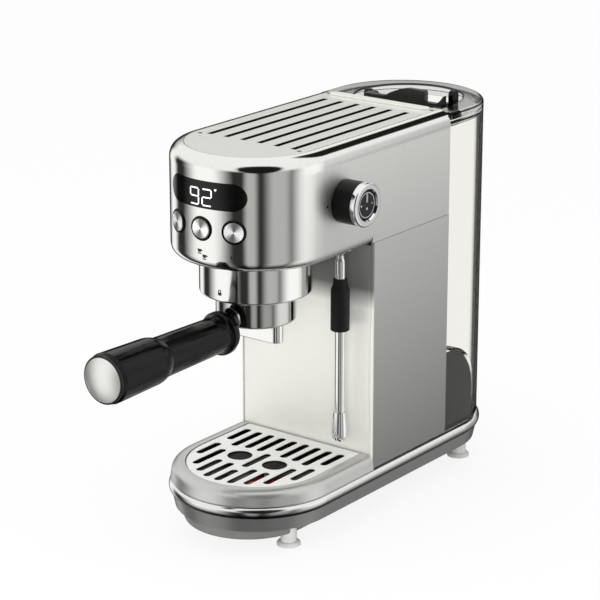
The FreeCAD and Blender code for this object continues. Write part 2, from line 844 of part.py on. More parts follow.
def make_button_bezels():
    inner = button_radius + slip_gap
    outer = bezel_outer - seat_gap / 2
    soft = 0.4 * bezel_rim
    front, back = body_half + bezel_proud, body_half - bezel_depth
    steps = [
        (inner, back), (outer, back), (outer, front - soft), (outer - soft, front),
        (inner + soft / 2, front), (inner, front - soft / 2)]
    return bare([along_button(angle, steps) for angle in button_angles.values()])


def make_button(name):
    front = body_half + button_proud
    collar = button_radius + button_flange
    collar_front = body_half - bezel_depth - seat_gap
    collar_back = collar_front - button_flange
    tail = carrier_radius + switch_height + 2 * seat_gap + button_travel
    soft = 0.5 * button_flange
    return along_button(button_angles[name], [
        (0, tail), (button_stem, tail), (button_stem, collar_back), (collar, collar_back),
        (collar, collar_front), (button_radius, collar_front), (button_radius, front - soft),
        (button_radius - soft, front), (0, front - soft)])


def make_button_switches():
    start = carrier_radius + seat_gap
    end = start + switch_height
    step = end - 0.3 * switch_height
    return bare([along_button(angle, [
        (0, start), (switch_radius, start), (switch_radius, step), (switch_radius / 2, step),
        (switch_radius / 2, end), (0, end)]) for angle in button_angles.values()])


# Steam knob and valve: distances are measured outwards from the head's side

def on_knob(steps):
    return turned(steps, V(body_half, knob_y, knob_z), ACROSS)


def make_knob_body():
    start = 2 * seat_gap
    end = knob_length - knob_ring_length
    floor = knob_length - dial_sunk - knob_floor
    bore = stem_radius + run_gap
    return on_knob([
        (bore, start + sheet), (2 * stem_radius, start + sheet), (2 * stem_radius, start),
        (knob_foot_radius - knob_soft / 2, start), (knob_foot_radius, start + knob_soft / 2),
        (knob_radius - seat_gap, end), (dial_radius + dial_step, end),
        (dial_radius + dial_step, floor), (bore, floor)])


def make_knob_ring():
    start = knob_length - knob_ring_length + seat_gap / 2
    face = knob_length - dial_sunk
    inner = dial_radius + dial_step + seat_gap / 2
    edge = knob_soft / 3
    seat = dial_radius + slip_gap
    return on_knob([
        (inner, start), (knob_radius - edge, start), (knob_radius, start + edge),
        (knob_radius, knob_length - knob_soft),
        arc_to(knob_radius - knob_soft, knob_length - knob_soft, knob_soft, 0, 90),
        (dial_radius + 0.8 * dial_step, knob_length), (seat, face), (seat, face - dial_thick),
        (inner, face - dial_thick)])


def make_knob_dial():
    top = knob_length - dial_sunk
    soft = 0.2 * dial_thick
    disc = on_knob([(0, top - dial_thick), (dial_radius, top - dial_thick), (dial_radius, top - soft),
                    (dial_radius - soft, top), (0, top)])
    wide = 0.08 * dial_radius
    pointer = box(body_half + top - soft, body_half + top + soft, knob_y - wide, knob_y + wide,
                  knob_z + 0.2 * dial_radius, knob_z + 0.8 * dial_radius)
    return disc.fuse(pointer)


def make_valve_stem():
    return on_knob([(0, -stem_inside), (stem_radius, -stem_inside), (stem_radius, stem_end), (0, stem_end)])


def make_valve_body():
    near, far = -sheet - seat_gap, -sheet - seat_gap - valve_length
    nose = near - valve_nose
    bore = stem_radius + run_gap
    blind = -stem_inside - slip_gap
    body = on_knob([
        (bore, near), (0.82 * valve_radius, near), (0.82 * valve_radius, nose), (valve_radius, nose),
        (valve_radius, far), (0, far), (0, blind), (bore, blind)])
    port_x = body_half + (nose + far) / 2 - port_radius / 2
    port_z = knob_z - valve_radius
    port = rod(port_radius, V(port_x, knob_y, port_z + port_radius / 2),
               V(port_x, knob_y, port_z - 2 * port_radius))
    return body.fuse(port).removeSplitter()


# Steam wand

def make_wand_nut():
    low = wand_pivot_z - 0.27 * nut_height
    high = low + nut_height
    soft = 0.1 * nut_height
    bore = 0.57 * ball_radius
    ring = turned([
        (bore, low), (nut_radius - soft, low), (nut_radius, low + soft), (nut_radius, high), (bore, high)],
        V(wand_x, wand_y, 0))
    return ring.cut(Part.makeSphere(ball_radius + run_gap, V(wand_x, wand_y, wand_pivot_z)))


def make_wand_tube():
    top = wand_pivot_z - 0.7 * ball_radius
    end = tip_top - tip_socket
    shoulder = wand_pivot_z - 1.2 * ball_radius
    tube = turned([
        (0, end), (wand_radius, end), (wand_radius, shoulder - wand_radius / 2), (wand_neck, shoulder),
        (wand_neck, top), (0, top)], V(wand_x, wand_y, 0))
    return tube.fuse(Part.makeSphere(ball_radius, V(wand_x, wand_y, wand_pivot_z))).removeSplitter()


def make_wand_sleeve():
    bore = wand_radius + seat_gap / 2
    shoulder = sleeve_top - sleeve_shoulder
    soft = 0.07 * sleeve_radius
    return turned([
        (bore, sleeve_bottom), (sleeve_radius - soft, sleeve_bottom), (sleeve_radius, sleeve_bottom + soft),
        (sleeve_radius, shoulder - 3 * soft), (bore + 3 * soft, shoulder + 5 * soft),
        (bore + 2 * soft, sleeve_top), (bore, sleeve_top)], V(wand_x, wand_y, 0))


def make_wand_tip():
    bore = wand_radius + seat_gap / 2
    floor = tip_top - tip_socket - seat_gap
    bulge = tip_bottom + tip_radius
    tip = turned([
        (0, tip_bottom), arc_to(0, bulge, tip_radius, -90, 0), (tip_radius, bulge + tip_radius / 4),
        (bore + 0.15 * tip_radius, tip_top), (bore, tip_top), (bore, floor), (0, floor)],
        V(wand_x, wand_y, 0))
    holes = []
    for turn in range(0, 360, 90):
        a = math.radians(turn + 45)
        way = V(math.cos(a), math.sin(a), -1.0)
        centre = V(wand_x, wand_y, bulge)
        holes.append(rod(0.12 * tip_radius, centre, centre + way * tip_radius * 1.2))
    return tip.cut(holes)


# Brewing group

def lug_directions():
    return [lug_first + i * 360.0 / lug_count for i in range(lug_count)]


def make_group_collar():
    top = head_bottom - seat_gap
    soft = 0.77 * collar_wall
    ring = turned([
        (collar_bore, collar_bottom), (collar_radius - soft, collar_bottom),
        arc_to(collar_radius - soft, collar_bottom + soft, soft, -90, 0), (collar_radius, top),
        (collar_inner, top), (collar_inner, groove_bottom), (collar_bore, groove_bottom)], V(0, group_y, 0))
    low, high = collar_bottom - collar_lip, groove_bottom + collar_lip
    gaps = [sector(collar_bore - collar_wall, collar_inner, low, high, d - lock_turn,
                   lug_angle + gap_extra, 0, group_y) for d in lug_directions()]
    return ring.cut(gaps)


def make_group_head():
    low = gasket_top + seat_gap / 3
    top = head_bottom - slip_gap
    stub_top = head_bottom + head_stub_rise
    outer = collar_inner - seat_gap
    bore = bolt_radius + seat_gap
    return turned([
        (bore, low), (outer, low), (outer, top), (head_stub, top), (head_stub, stub_top), (bore, stub_top)],
        V(0, group_y, 0))


def make_group_gasket():
    soft = 0.2 * gasket_height
    return turned([
        (gasket_inner, gasket_bottom), (filter_rim_radius, gasket_bottom),
        (filter_rim_radius + soft, gasket_bottom + soft), (filter_rim_radius + soft, gasket_top),
        (gasket_inner, gasket_top)], V(0, group_y, 0))


def ring_holes(radius, places, z0, z1):
    # upright holes about the group's axis; each place is a ring's radius and its number of holes
    holes = []
    for ring, count in places:
        for i in range(count):
            a = 2 * math.pi * i / count
            place = V(ring * math.cos(a), group_y + ring * math.sin(a), z0)
            holes.append(Part.makeCylinder(radius, z1 - z0, place))
    return holes


def make_shower_screen():
    top = gasket_top - seat_gap
    low = top - screen_thick
    bore = bolt_radius + seat_gap
    plate = turned([
        (bore, low), (0.95 * screen_radius, low), (screen_radius, top - screen_thick / 4),
        (screen_radius, top), (bore, top)], V(0, group_y, 0))
    rings = ((0.32 * screen_radius, 6), (0.6 * screen_radius, 12), (0.84 * screen_radius, 16))
    return plate.cut(ring_holes(0.036 * screen_radius, rings, low - screen_thick, top + screen_thick))


def make_shower_screw():
    low = gasket_top - seat_gap - screen_thick
    under = low - seat_gap
    face = under - 0.8 * bolt_radius
    end = low + 7 * bolt_radius
    return turned([
        (0, face), (1.8 * bolt_radius, face), (2 * bolt_radius, under), (bolt_radius, under),
        (bolt_radius, end), (0, end)], V(0, group_y, 0))


# Portafilter

def make_portafilter_body():
    soft = 0.07 * filter_radius
    floor = filter_bottom + filter_floor
    bowl = [
        (inlet_radius, filter_bottom), (filter_radius - soft, filter_bottom),
        arc_to(filter_radius - soft, filter_bottom + soft, soft, -90, 0),
        (filter_radius, collar_bottom + collar_lip / 3), (filter_rim_radius, lug_bottom),
        (filter_rim_radius, filter_top), (filter_bore, filter_top), (filter_bore, floor + soft),
        (inlet_radius, floor)]
    body = turned(bowl, V(0, group_y, 0))
    lugs = [sector(filter_rim_radius - seat_gap, collar_inner - 2 * seat_gap, lug_bottom,
                   lug_bottom + lug_height, d, lug_angle, 0, group_y) for d in lug_directions()]
    washer_front = handle_flange_y + seat_gap
    washer_back = V(0, washer_front + washer_thick, handle_z)
    washer = rod(0.9 * handle_flange, washer_back, V(0, washer_front, handle_z))
    tang = rod(tang_radius, washer_back, V(0, handle_flange_y - tang_length, handle_z))
    hollow = Part.makeCylinder(filter_bore, 3 * filter_drop, V(0, group_y, floor + soft))
    outside = box(-filter_radius, filter_radius, handle_flange_y - filter_radius, washer_front,
                  handle_z - filter_radius, handle_z + filter_radius)
    neck_start = V(0, group_y - 0.8 * filter_radius, filter_bottom + 0.42 * filter_drop)
    arm = rod(neck_radius, neck_start, V(0, handle_flange_y, handle_z)).cut([hollow, outside])
    return body.fuse(lugs + [arm, washer, tang]).removeSplitter()


def make_filter_basket():
    outer = filter_bore - basket_play
    inner = outer - basket_wall
    lip = filter_bore + basket_lip
    lip_low = filter_top + seat_gap
    floor = lip_low - basket_depth
    soft = 0.08 * outer
    cup = turned([
        (0, floor), (outer - soft, floor), (outer, floor + soft), (outer, lip_low), (lip, lip_low),
        (lip, basket_lip_top), (inner, basket_lip_top), (inner, floor + soft + basket_wall / 2),
        (inner - 0.8 * soft, floor + basket_wall), (0, floor + basket_wall)], V(0, group_y, 0))
    rings = ((0.0, 1), (0.26 * outer, 6), (0.53 * outer, 12))
    return cup.cut(ring_holes(0.9 * basket_wall, rings, floor - basket_wall, floor + 2 * basket_wall))


def make_spout():
    # flat-bottomed bar with round ends under the bowl, an outlet near each end
    top = filter_bottom - seat_gap / 3
    middle = (spout_bottom + top) / 2
    ends = spout_x + spout_radius
    bar = slot(0, -ends, ends, 2 * spout_radius, spout_bottom, top)
    bar.rotate(V(0, 0, 0), UP, 90)
    bar = bar.makeFillet(spout_soft, [e for e in bar.Edges if e.BoundBox.ZMax < spout_bottom + 0.01])
    stub = Part.makeCylinder(inlet_radius - 2 * run_gap, filter_floor, V(0, 0, top - seat_gap))
    cuts = [Part.makeCylinder(0.8 * spout_bore, spout_drop + filter_floor, V(0, 0, middle)),
            rod(0.8 * spout_bore, V(-spout_x, 0, middle), V(spout_x, 0, middle))]
    for side in (-1, 1):
        cuts.append(Part.makeCylinder(spout_bore, spout_drop, V(side * spout_x, 0, middle - spout_drop)))
    spout = bar.fuse(stub).cut(cuts).removeSplitter()
    spout.translate(V(0, group_y, 0))
    return spout


def on_handle(steps):
    # turned about the handle's axis, distances measured forwards from the flange
    return turned(steps, V(0, handle_flange_y, handle_z), V(0, -1, 0))


def make_handle_grip():
    bore = tang_radius + seat_gap / 2
    depth = tang_length + seat_gap
    end = handle_length
    step = handle_step_reach - handle_flange_reach
    soft = 0.2 * handle_flange_length
    neck = 1.46 * handle_flange_length
    swell = (handle_waist + handle_thick) / 2
    return on_handle([
        (bore, 0), (handle_flange - soft, 0), (handle_flange, soft),
        (handle_flange, 0.7 * handle_flange_length),
        (handle_slim, neck, 1.05 * handle_slim, 1.06 * handle_flange_length), (handle_waist, step),
        (handle_thick, step + step_length, swell + 0.1 * cap_edge, step + 0.4 * step_length),
        (handle_end, end - cap_inset), (handle_end - cap_inset / 3, end), (0, end), (0, depth),
        (bore, depth)])


def make_handle_cap():
    end = handle_length + seat_gap
    radius = handle_end - cap_inset / 3
    return on_handle([
        (0, end), (radius, end), (radius, end + cap_edge), dome_to(radius, end + cap_edge, cap_dome)])


# Water tank

def dock_section(gap, front):
    # side outline of the dock, grown by a gap at the top and the back
    back = tank_front_y + dock_depth + gap
    top = dock_top + gap
    soft = dock_round + gap
    low = skirt_bottom if gap else deck_top + seat_gap
    return outline([
        (front, low), (back, low), (back, top - soft), arc_to(back - soft, top - soft, soft, 0, 90),
        (front, top)], lambda a, b: V(0, a, b))


def dock_solid(gap, half, front):
    face = dock_section(gap, front)
    face.translate(V(-half, 0, 0))
    return face.extrude(V(2 * half, 0, 0))


def make_tank_dock():
    dock = dock_solid(0, dock_half, tank_front_y)
    front, back = tank_front_y + dock_wall, tank_front_y + dock_depth - dock_wall
    inside = dock_half - dock_wall
    ribs = [box(x - panel, x + panel, front, back, deck_top, deck_top + dock_hollow + dock_wall)
            for x in (-0.7 * inside, 0, 0.7 * inside)]
    hollow = box(-inside, inside, front, back, deck_top, deck_top + dock_hollow)
    return dock.cut(hollow.cut(ribs))


def make_tank_shell():
    outer = dee(body_half, tank_front_y, tank_round_y, tank_bottom, tank_top)
    inner = dee(body_half - tank_wall, tank_front_y + tank_wall, tank_round_y, tank_bottom + tank_wall,
                tank_top + tank_wall)
    over_dock = dock_solid(slip_gap + tank_wall, body_half, tank_front_y)
    under_dock = dock_solid(slip_gap, body_half - tank_wall, tank_front_y - tank_wall)
    tank = outer.cut([inner.cut(over_dock), under_dock])
    low = V(0, outlet_y, tank_bottom - tank_wall)
    return tank.cut(Part.makeCylinder(outlet_radius + seat_gap, 3 * tank_wall, low))


def lid_opening(z0, z1):
    # round hole with a straight front edge
    disc = Part.makeCylinder(opening_radius, z1 - z0, V(0, opening_y, z0))
    half, back = opening_radius, opening_y + opening_radius
    return disc.common(box(-half, half, opening_front_y, back, z0, z1))


def make_tank_lid():
    low = lid_bottom
    ring = dee(body_half, tank_front_y, tank_round_y, low, lid_top)
    top = [e for e in ring.Edges if e.BoundBox.ZMin > lid_top - 0.01]
    ring = ring.makeFillet(lid_round, top)
    inner = body_half - tank_wall - slip_gap
    front = tank_front_y + tank_wall + slip_gap
    plug = dee(inner, front, tank_round_y, low - lid_skirt, low)
    core = dee(inner - tank_wall, front + tank_wall, tank_round_y, low - 2 * lid_skirt, low)
    lid = ring.fuse(plug.cut(core)).removeSplitter()
    return lid.cut(lid_opening(low - 2 * lid_skirt, lid_top + lid_skirt))


def lug_block(side, top):
    # upright ear with a round top, inside the lid's opening
    near, far = side * lug_x - lug_width / 2, side * lug_x + lug_width / 2
    crown = top - lug_radius
    low = lid_bottom - lid_skirt
    ear = box(near, far, bail_y - lug_radius, bail_y + lug_radius, low, crown)
    return ear.fuse(rod(lug_radius, V(near, bail_y, crown), V(far, bail_y, crown))).removeSplitter()


def make_handle_lugs():
    holes = rod(pin_radius + run_gap, V(-body_half, bail_y, bail_z), V(body_half, bail_y, bail_z))
    return bare([lug_block(-1, lid_top + lug_low).cut(holes), lug_block(1, lid_top + lug_high).cut(holes)])


def make_tank_handle():
    # bar in front of two short arms, with a raised finger tab in its middle and one upturned end
    half = lug_x - lug_width / 2 - slip_gap
    low, high = bail_z - bail_height / 2, bail_z + bail_height / 2
    front = bail_y - bail_reach
    rear = front + bail_width
    root = high - bail_height / 4
    frame = box(-half, half, front, bail_y, low, high).cut(
        box(-half + bail_width, half - bail_width, rear, bail_y, low, high))
    tip = high + tab_height
    soft = 0.2 * tab_height
    tab = outline([
        (-tab_half, root), (tab_half, root), (tab_half, tip - soft),
        arc_to(tab_half - soft, tip - soft, soft, 0, 90), (tab_half / 4, tip),
        (-tab_half, root, -0.4 * tab_half, high + 0.6 * tab_height)], lambda a, b: V(a, front, b))
    turn_up = outline([
        (half - 2 * bail_width, root), (half, root), (half, high + turn_height),
        (half - 2 * bail_width, root, half - 0.8 * bail_width, high + 0.3 * turn_height)],
        lambda a, b: V(a, front, b))
    pieces = [face.extrude(V(0, bail_width, 0)) for face in (tab, turn_up)]
    for side in (-1, 1):
        inner = V(side * (half - bail_width), bail_y, bail_z)
        pieces.append(rod(bail_height / 2, inner, V(side * half, bail_y, bail_z)))
        pieces.append(rod(pin_radius, inner, V(side * (lug_x + lug_width / 2 - seat_gap), bail_y, bail_z)))
    return frame.fuse(pieces).removeSplitter()


def make_tank_valve():
    start = tank_bottom + seat_gap
    low = start + tank_wall
    knob = outlet_radius / 2
    return turned([
        (0, start), (outlet_radius, start), (outlet_radius, low), (valve_cap_radius, low),
        (0.9 * valve_cap_radius, low + 0.5 * valve_cap_radius), (knob, low + 0.7 * valve_cap_radius),
        (0, low + 0.7 * valve_cap_radius)], V(0, outlet_y, 0))


def make_dock_seal():
    top = deck_top + seat_gap
    under = deck_top - base_wall
    soft = 2 * seat_gap
    return turned([
        (seal_bore, seal_end), (0.75 * valve_cap_radius, seal_end), (valve_cap_radius, under),
        (valve_cap_radius, top - soft), (valve_cap_radius - soft, top), (seal_bore, top)], V(0, outlet_y, 0))


# Inner works

def make_thermoblock():
    low, high = block_bottom, block_bottom + block_height
    block = box(-block_x, block_x, block_front_y, block_back_y, low, high)
    upright = [e for e in block.Edges if abs(e.tangentAt(e.FirstParameter).z) > 0.9]
    block = block.makeFillet(block_round, upright)
    pitch = (block_back_y - block_front_y) / (groove_count + 1)
    grooves = []
    for i in range(groove_count):
        y = block_front_y + pitch * (i + 1)
        grooves.append(box(-2 * block_x, 2 * block_x, y - groove_width / 2, y + groove_width / 2,
                           high - groove_depth, high + groove_depth))
    return block.cut(grooves)


def make_pump():
    body_end = pump_back_y - pump_tail_length
    coil_half = pump_coil / 2
    middle = (pump_front_y + body_end) / 2
    coil_front, coil_back = middle - pump_coil_length / 2, middle + pump_coil_length / 2
    foot = pump_foot / 2
    nozzle_low = pump_z + pump_radius - pump_port / 2
    coil_x = 0.7 * coil_half
    pieces = [
        box(-coil_x, coil_x, coil_front, coil_back, pump_z - coil_half, pump_z + coil_half),
        rod(pump_tail, V(0, body_end - pump_port, pump_z), V(0, pump_back_y, pump_z)),
        rod(pump_port, V(0, nozzle_y, nozzle_low), V(0, nozzle_y, nozzle_top)),
        box(-foot, foot, coil_front, coil_back, deck_top + seat_gap, deck_top + pump_port),
        box(-0.6 * foot, 0.6 * foot, coil_front, coil_back, deck_top + seat_gap, pump_z),
        rod(pump_port, V(0, elbow_y, pump_z), V(0, elbow_y, elbow_low)),
        rod(pump_port, V(0, pump_back_y - pump_port, pump_z), V(0, elbow_y, pump_z)),
        Part.makeSphere(pump_port, V(0, elbow_y, pump_z))]
    body = rod(pump_radius, V(0, pump_front_y, pump_z), V(0, body_end, pump_z))
    return body.fuse(pieces).removeSplitter()


def make_main_board():
    low, high = deck_top + board_rise, head_bottom - board_drop
    front, back = board_front_y, board_back_y
    wide, tall = back - front, high - low
    board = box(board_x, board_x + board_thick, front, back, low, high)
    root = board_x + board_thick / 2
    pieces = []
    for y in (front + 2 * board_post, back - 2 * board_post):
        for z in (low + 2 * board_post, high - 2 * board_post):
            pieces.append(rod(board_post, V(-body_half + panel + seat_gap, y, z), V(root, y, z)))
    pieces.append(box(root, root + 0.2 * wide, front + 0.14 * wide, front + 0.51 * wide, low + 0.13 * tall,
                      low + 0.44 * tall))
    pieces.append(box(root, root + 0.13 * wide, front + 0.6 * wide, front + 0.83 * wide, low + 0.55 * tall,
                      low + 0.8 * tall))
    can_y, can_z = front + 0.28 * wide, low + 0.72 * tall
    pieces.append(rod(0.08 * wide, V(root, can_y, can_z), V(root + 0.26 * wide, can_y, can_z)))
    return board.fuse(pieces).removeSplitter()


def bent_hose(points, bend):
    # tube along a path in the plane of symmetry, with a round bend at every inner point
    edges = []
    start = points[0]
    for i in range(1, len(points) - 1):
        here = points[i]
        back = (points[i - 1] - here).normalize()
        ahead = (points[i + 1] - here).normalize()
        enter, leave = here + back * bend, here + ahead * bend
        centre = enter + ahead * bend
        middle = centre + (here - centre).normalize() * bend
        edges.append(Part.LineSegment(start, enter).toShape())
        edges.append(Part.Arc(enter, middle, leave).toShape())
        start = leave
    edges.append(Part.LineSegment(start, points[-1]).toShape())
    path = Part.Wire(edges)
    ring = Part.Wire(Part.makeCircle(hose_radius, points[0], points[1] - points[0]))
    return path.makePipeShell([ring], True, True)


def make_water_hoses():
    block_mid = block_bottom + block_height / 2
    rise = bent_hose([
        V(0, nozzle_y, nozzle_top + seat_gap), V(0, nozzle_y, block_mid),
        V(0, block_back_y + seat_gap, block_mid)], hose_bend)
    run_z = (skirt_bottom + deck_top - base_wall) / 2
    supply = bent_hose([
        V(0, outlet_y, seal_end - seat_gap), V(0, outlet_y, run_z), V(0, elbow_y, run_z),
        V(0, elbow_y, elbow_low - seat_gap)], supply_bend)
    return bare([rise, supply])


nodes = {
    "base_shell": make_base_shell(),
    "base_trim_ring": make_base_trim_ring(),
    "base_cover": make_base_cover(),
    "cover_screws": make_cover_screws(),
    "feet": make_feet(),
    "cord_gland": make_cord_gland(),
    "drip_tray": make_drip_tray(),
    "drip_grille": make_drip_grille(),
    "drip_float": make_drip_float(),
    "column_front": make_column_front(),
    "column_side_left": make_column_side(-1),
    "column_side_right": make_column_side(1),
    "column_back": make_column_back(),
    "head_shell": make_head_shell(),
    "head_bottom_plate": make_head_bottom_plate(),
    "top_panel": make_top_panel(),
    "rear_trim_bar": make_rear_trim_bar(),
    "top_screws": make_top_screws(),
    "display_window": make_display_window(),
    "display_module": make_display_module(),
    "front_carrier": make_front_carrier(),
    "button_bezels": make_button_bezels(),
    "button_switches": make_button_switches(),
    "button_left": make_button("left"),
    "button_middle": make_button("middle"),
    "button_right": make_button("right"),
    "knob_body": make_knob_body(),
    "knob_ring": make_knob_ring(),
    "knob_dial": make_knob_dial(),
    "valve_stem": make_valve_stem(),
    "valve_body": make_valve_body(),
    "wand_nut": make_wand_nut(),
    "wand_tube": make_wand_tube(),
    "wand_sleeve": make_wand_sleeve(),
    "wand_tip": make_wand_tip(),
    "group_collar": make_group_collar(),
    "group_head": make_group_head(),
    "group_gasket": make_group_gasket(),
    "shower_screen": make_shower_screen(),
    "shower_screw": make_shower_screw(),
    "portafilter_body": make_portafilter_body(),
    "filter_basket": make_filter_basket(),
    "spout": make_spout(),
    "handle_grip": make_handle_grip(),
    "handle_cap": make_handle_cap(),
    "tank_shell": make_tank_shell(),
    "tank_lid": make_tank_lid(),
    "handle_lugs": make_handle_lugs(),
    "tank_handle": make_tank_handle(),
    "tank_valve": make_tank_valve(),
    "tank_dock": make_tank_dock(),
    "dock_seal": make_dock_seal(),
    "thermoblock": make_thermoblock(),
    "pump": make_pump(),
    "main_board": make_main_board(),
    "water_hoses": make_water_hoses(),
}

# The origin is the middle of the outer box, at the counter
left = -(skirt_half_high + bead_proud)
right = body_half + knob_length
front = group_y - handle_end_reach - seat_gap - cap_edge - cap_dome
back = base_back_y + skirt_half_high + bead_proud
shift = V(-(left + right) / 2, -(front + back) / 2, 0)

for name, shape in nodes.items():
    shape.translate(shift)
    shape.exportStep("parts/" + name + ".step")
    volume = sum(s.Volume for s in shape.Solids)
    print(name, "solids", len(shape.Solids), "valid", shape.isValid(), "volume", round(volume))
print("shift", shift)
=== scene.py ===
import math
import bmesh
import bpy
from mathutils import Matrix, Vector


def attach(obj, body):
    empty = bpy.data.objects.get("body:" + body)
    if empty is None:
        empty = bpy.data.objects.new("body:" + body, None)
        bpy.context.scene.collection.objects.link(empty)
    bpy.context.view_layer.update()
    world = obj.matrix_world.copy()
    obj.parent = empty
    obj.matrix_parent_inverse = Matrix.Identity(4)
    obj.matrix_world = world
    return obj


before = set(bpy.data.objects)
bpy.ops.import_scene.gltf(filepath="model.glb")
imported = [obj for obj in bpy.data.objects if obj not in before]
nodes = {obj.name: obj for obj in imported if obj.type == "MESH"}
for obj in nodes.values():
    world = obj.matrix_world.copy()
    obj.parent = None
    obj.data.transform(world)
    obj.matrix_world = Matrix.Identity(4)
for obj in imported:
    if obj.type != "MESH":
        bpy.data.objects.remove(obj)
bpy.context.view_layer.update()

mm = 0.001
edgeSoft = 0.2    # half width in millimetres of the edge between two finishes on one piece
print("frame loaded:", len(nodes), "pieces")

# The machine's own plan, in millimetres: x = 0 is the middle of the body, y = 0 the column's
# front, and the shifts move it into the frame.
plan = {"shiftX": -8.5, "shiftY": 20.8, "bodyHalf": 61.0, "groupY": -59.0, "collarRadius": 41.0}


def place(x, y, z):
    return Vector(((x + plan["shiftX"]) * mm, (y + plan["shiftY"]) * mm, z * mm))


def roundPlace(radius, angle, z):
    # a point round the brewing group's axis, by its angle from straight ahead
    a = math.radians(angle)
    return place(radius * math.sin(a), plan["groupY"] - radius * math.cos(a), z)


# Materials

def srgb(text):
    channels = [int(text[i:i + 2], 16) / 255 for i in (1, 3, 5)]
    linear = [c / 12.92 if c <= 0.04045 else ((c + 0.055) / 1.055) ** 2.4 for c in channels]
    return (*linear, 1.0)


def addNode(tree, kind, inputs, out=0, **settings):
    # inputs is a list in the sockets' order, or a dictionary by their numbers or names
    node = tree.nodes.new("ShaderNode" + kind)
    for name, value in settings.items():
        setattr(node, name, value)
    pairs = inputs.items() if isinstance(inputs, dict) else enumerate(inputs)
    for socket, value in pairs:
        if isinstance(value, bpy.types.NodeSocket):
            tree.links.new(value, node.inputs[socket])
        else:
            node.inputs[socket].default_value = value
    return node.outputs[out]


def startMaterial(name, colour, metallic, roughness, **sockets):
    material = bpy.data.materials.new(name)
    material.use_nodes = True
    tree = material.node_tree
    shader = tree.nodes["Principled BSDF"]
    shader.inputs["Base Color"].default_value = srgb(colour)
    shader.inputs["Metallic"].default_value = metallic
    shader.inputs["Roughness"].default_value = roughness
    for socket, value in sockets.items():
        shader.inputs[socket.replace("_", " ")].default_value = value
    return material, tree, shader


def reopen(material):
    return material, material.node_tree, material.node_tree.nodes["Principled BSDF"]


def spotsOf(tree, sizes, detail):
    # spots with these sizes in millimetres along x, y and z, which ride along with the piece
    spot = addNode(tree, "TexCoord", [], "Object")
    scale = [1 / (size * mm) for size in sizes]
    spot = addNode(tree, "VectorMath", [spot, scale], operation="MULTIPLY")
    return addNode(tree, "TexNoise", {"Vector": spot, "Scale": 1.0, "Detail": detail})


def ownPlace(tree):
    # x, y and z in the plan, still in metres
    spot = addNode(tree, "TexCoord", [], "Object")
    spot = addNode(tree, "VectorMath", [spot, place(0, 0, 0)], operation="SUBTRACT")
    return addNode(tree, "SeparateXYZ", [spot]).node.outputs


def between(tree, axis, start, end):
    # 0 before one level of the plan and 1 past the other, both in millimetres
    level = ownPlace(tree)[axis]
    return addNode(tree, "MapRange", [level, start * mm, end * mm, 0.0, 1.0])


def reachPast(tree, axis, middle, limit, side=None):
    # 1 past a round limit in millimetres from the line where the machine's middle plane meets a
    # level of the axis; side, MINIMUM or MAXIMUM, counts only what lies before or behind that level
    spot = ownPlace(tree)
    along = addNode(tree, "Math", [spot[axis], middle * mm], operation="SUBTRACT")
    if side:
        along = addNode(tree, "Math", [along, 0.0], operation=side)
    flat = addNode(tree, "CombineXYZ", [spot["X"], along])
    reach = addNode(tree, "VectorMath", [flat], "Value", operation="LENGTH")
    return addNode(tree, "MapRange", [reach, (limit - edgeSoft) * mm, (limit + edgeSoft) * mm, 0.0, 1.0])


def layFinish(tree, shader, source, dull, colour, smooth, rough, relief=None):
    # one pattern gives colour and gloss, and bumps where relief has a depth in millimetres and a strength
    mixed = addNode(tree, "Mix", {0: source, 6: srgb(dull), 7: srgb(colour)}, 2, data_type="RGBA")
    tree.links.new(mixed, shader.inputs["Base Color"])
    gloss = addNode(tree, "MapRange", [source, 0.0, 1.0, smooth, rough])
    tree.links.new(gloss, shader.inputs["Roughness"])
    if relief:
        bump = addNode(tree, "Bump", {"Height": source, "Distance": relief[0] * mm, "Strength": relief[1]})
        tree.links.new(bump, shader.inputs["Normal"])


def layOver(tree, shader, share, colour, bare=False):
    # another colour over the finish where share is 1; bare leaves no metal there
    below = shader.inputs["Base Color"].links[0].from_socket
    over = addNode(tree, "Mix", {0: share, 6: below, 7: srgb(colour)}, 2, data_type="RGBA")
    tree.links.new(over, shader.inputs["Base Color"])
    if bare:
        metallic = shader.inputs["Metallic"].default_value
        left = addNode(tree, "MapRange", [share, 0.0, 1.0, metallic, 0.0])
        tree.links.new(left, shader.inputs["Metallic"])


polished = {"colour": "#F2F2EF", "dull": "#E8E8E4", "smooth": 0.07, "rough": 0.12, "streak": 1.4,
            "run": 60.0}
bowl = {"colour": "#D2D2CF", "dull": "#C6C6C3", "smooth": 0.06, "rough": 0.11, "streak": 1.4, "run": 60.0}


def polishedStainless(name, options):
    # Stainless sheet, buffed: a near mirror, with faint up-and-down streaks from the wheel.
    # Real streaks are about 0.2 mm wide; they are drawn at 1.4 mm so that they show.
    material, tree, shader = startMaterial(name, options["colour"], 1.0, options["smooth"])
    streaks = spotsOf(tree, (options["streak"], options["streak"], options["run"]), 3.0)
    layFinish(tree, shader, streaks, options["dull"], options["colour"], options["smooth"],
              options["rough"])
    return material


# the last two entries give painted shade: how far the flat sides grey towards the bottom, and to what grey
headSide = {"front": -84.0, "flat": -66.0, "round": 282.0, "underRound": 279.0, "haze": 0.36, "low": 212.0,
            "high": 293.0, "foot": 0.45, "colour": "#AEAEAC"}


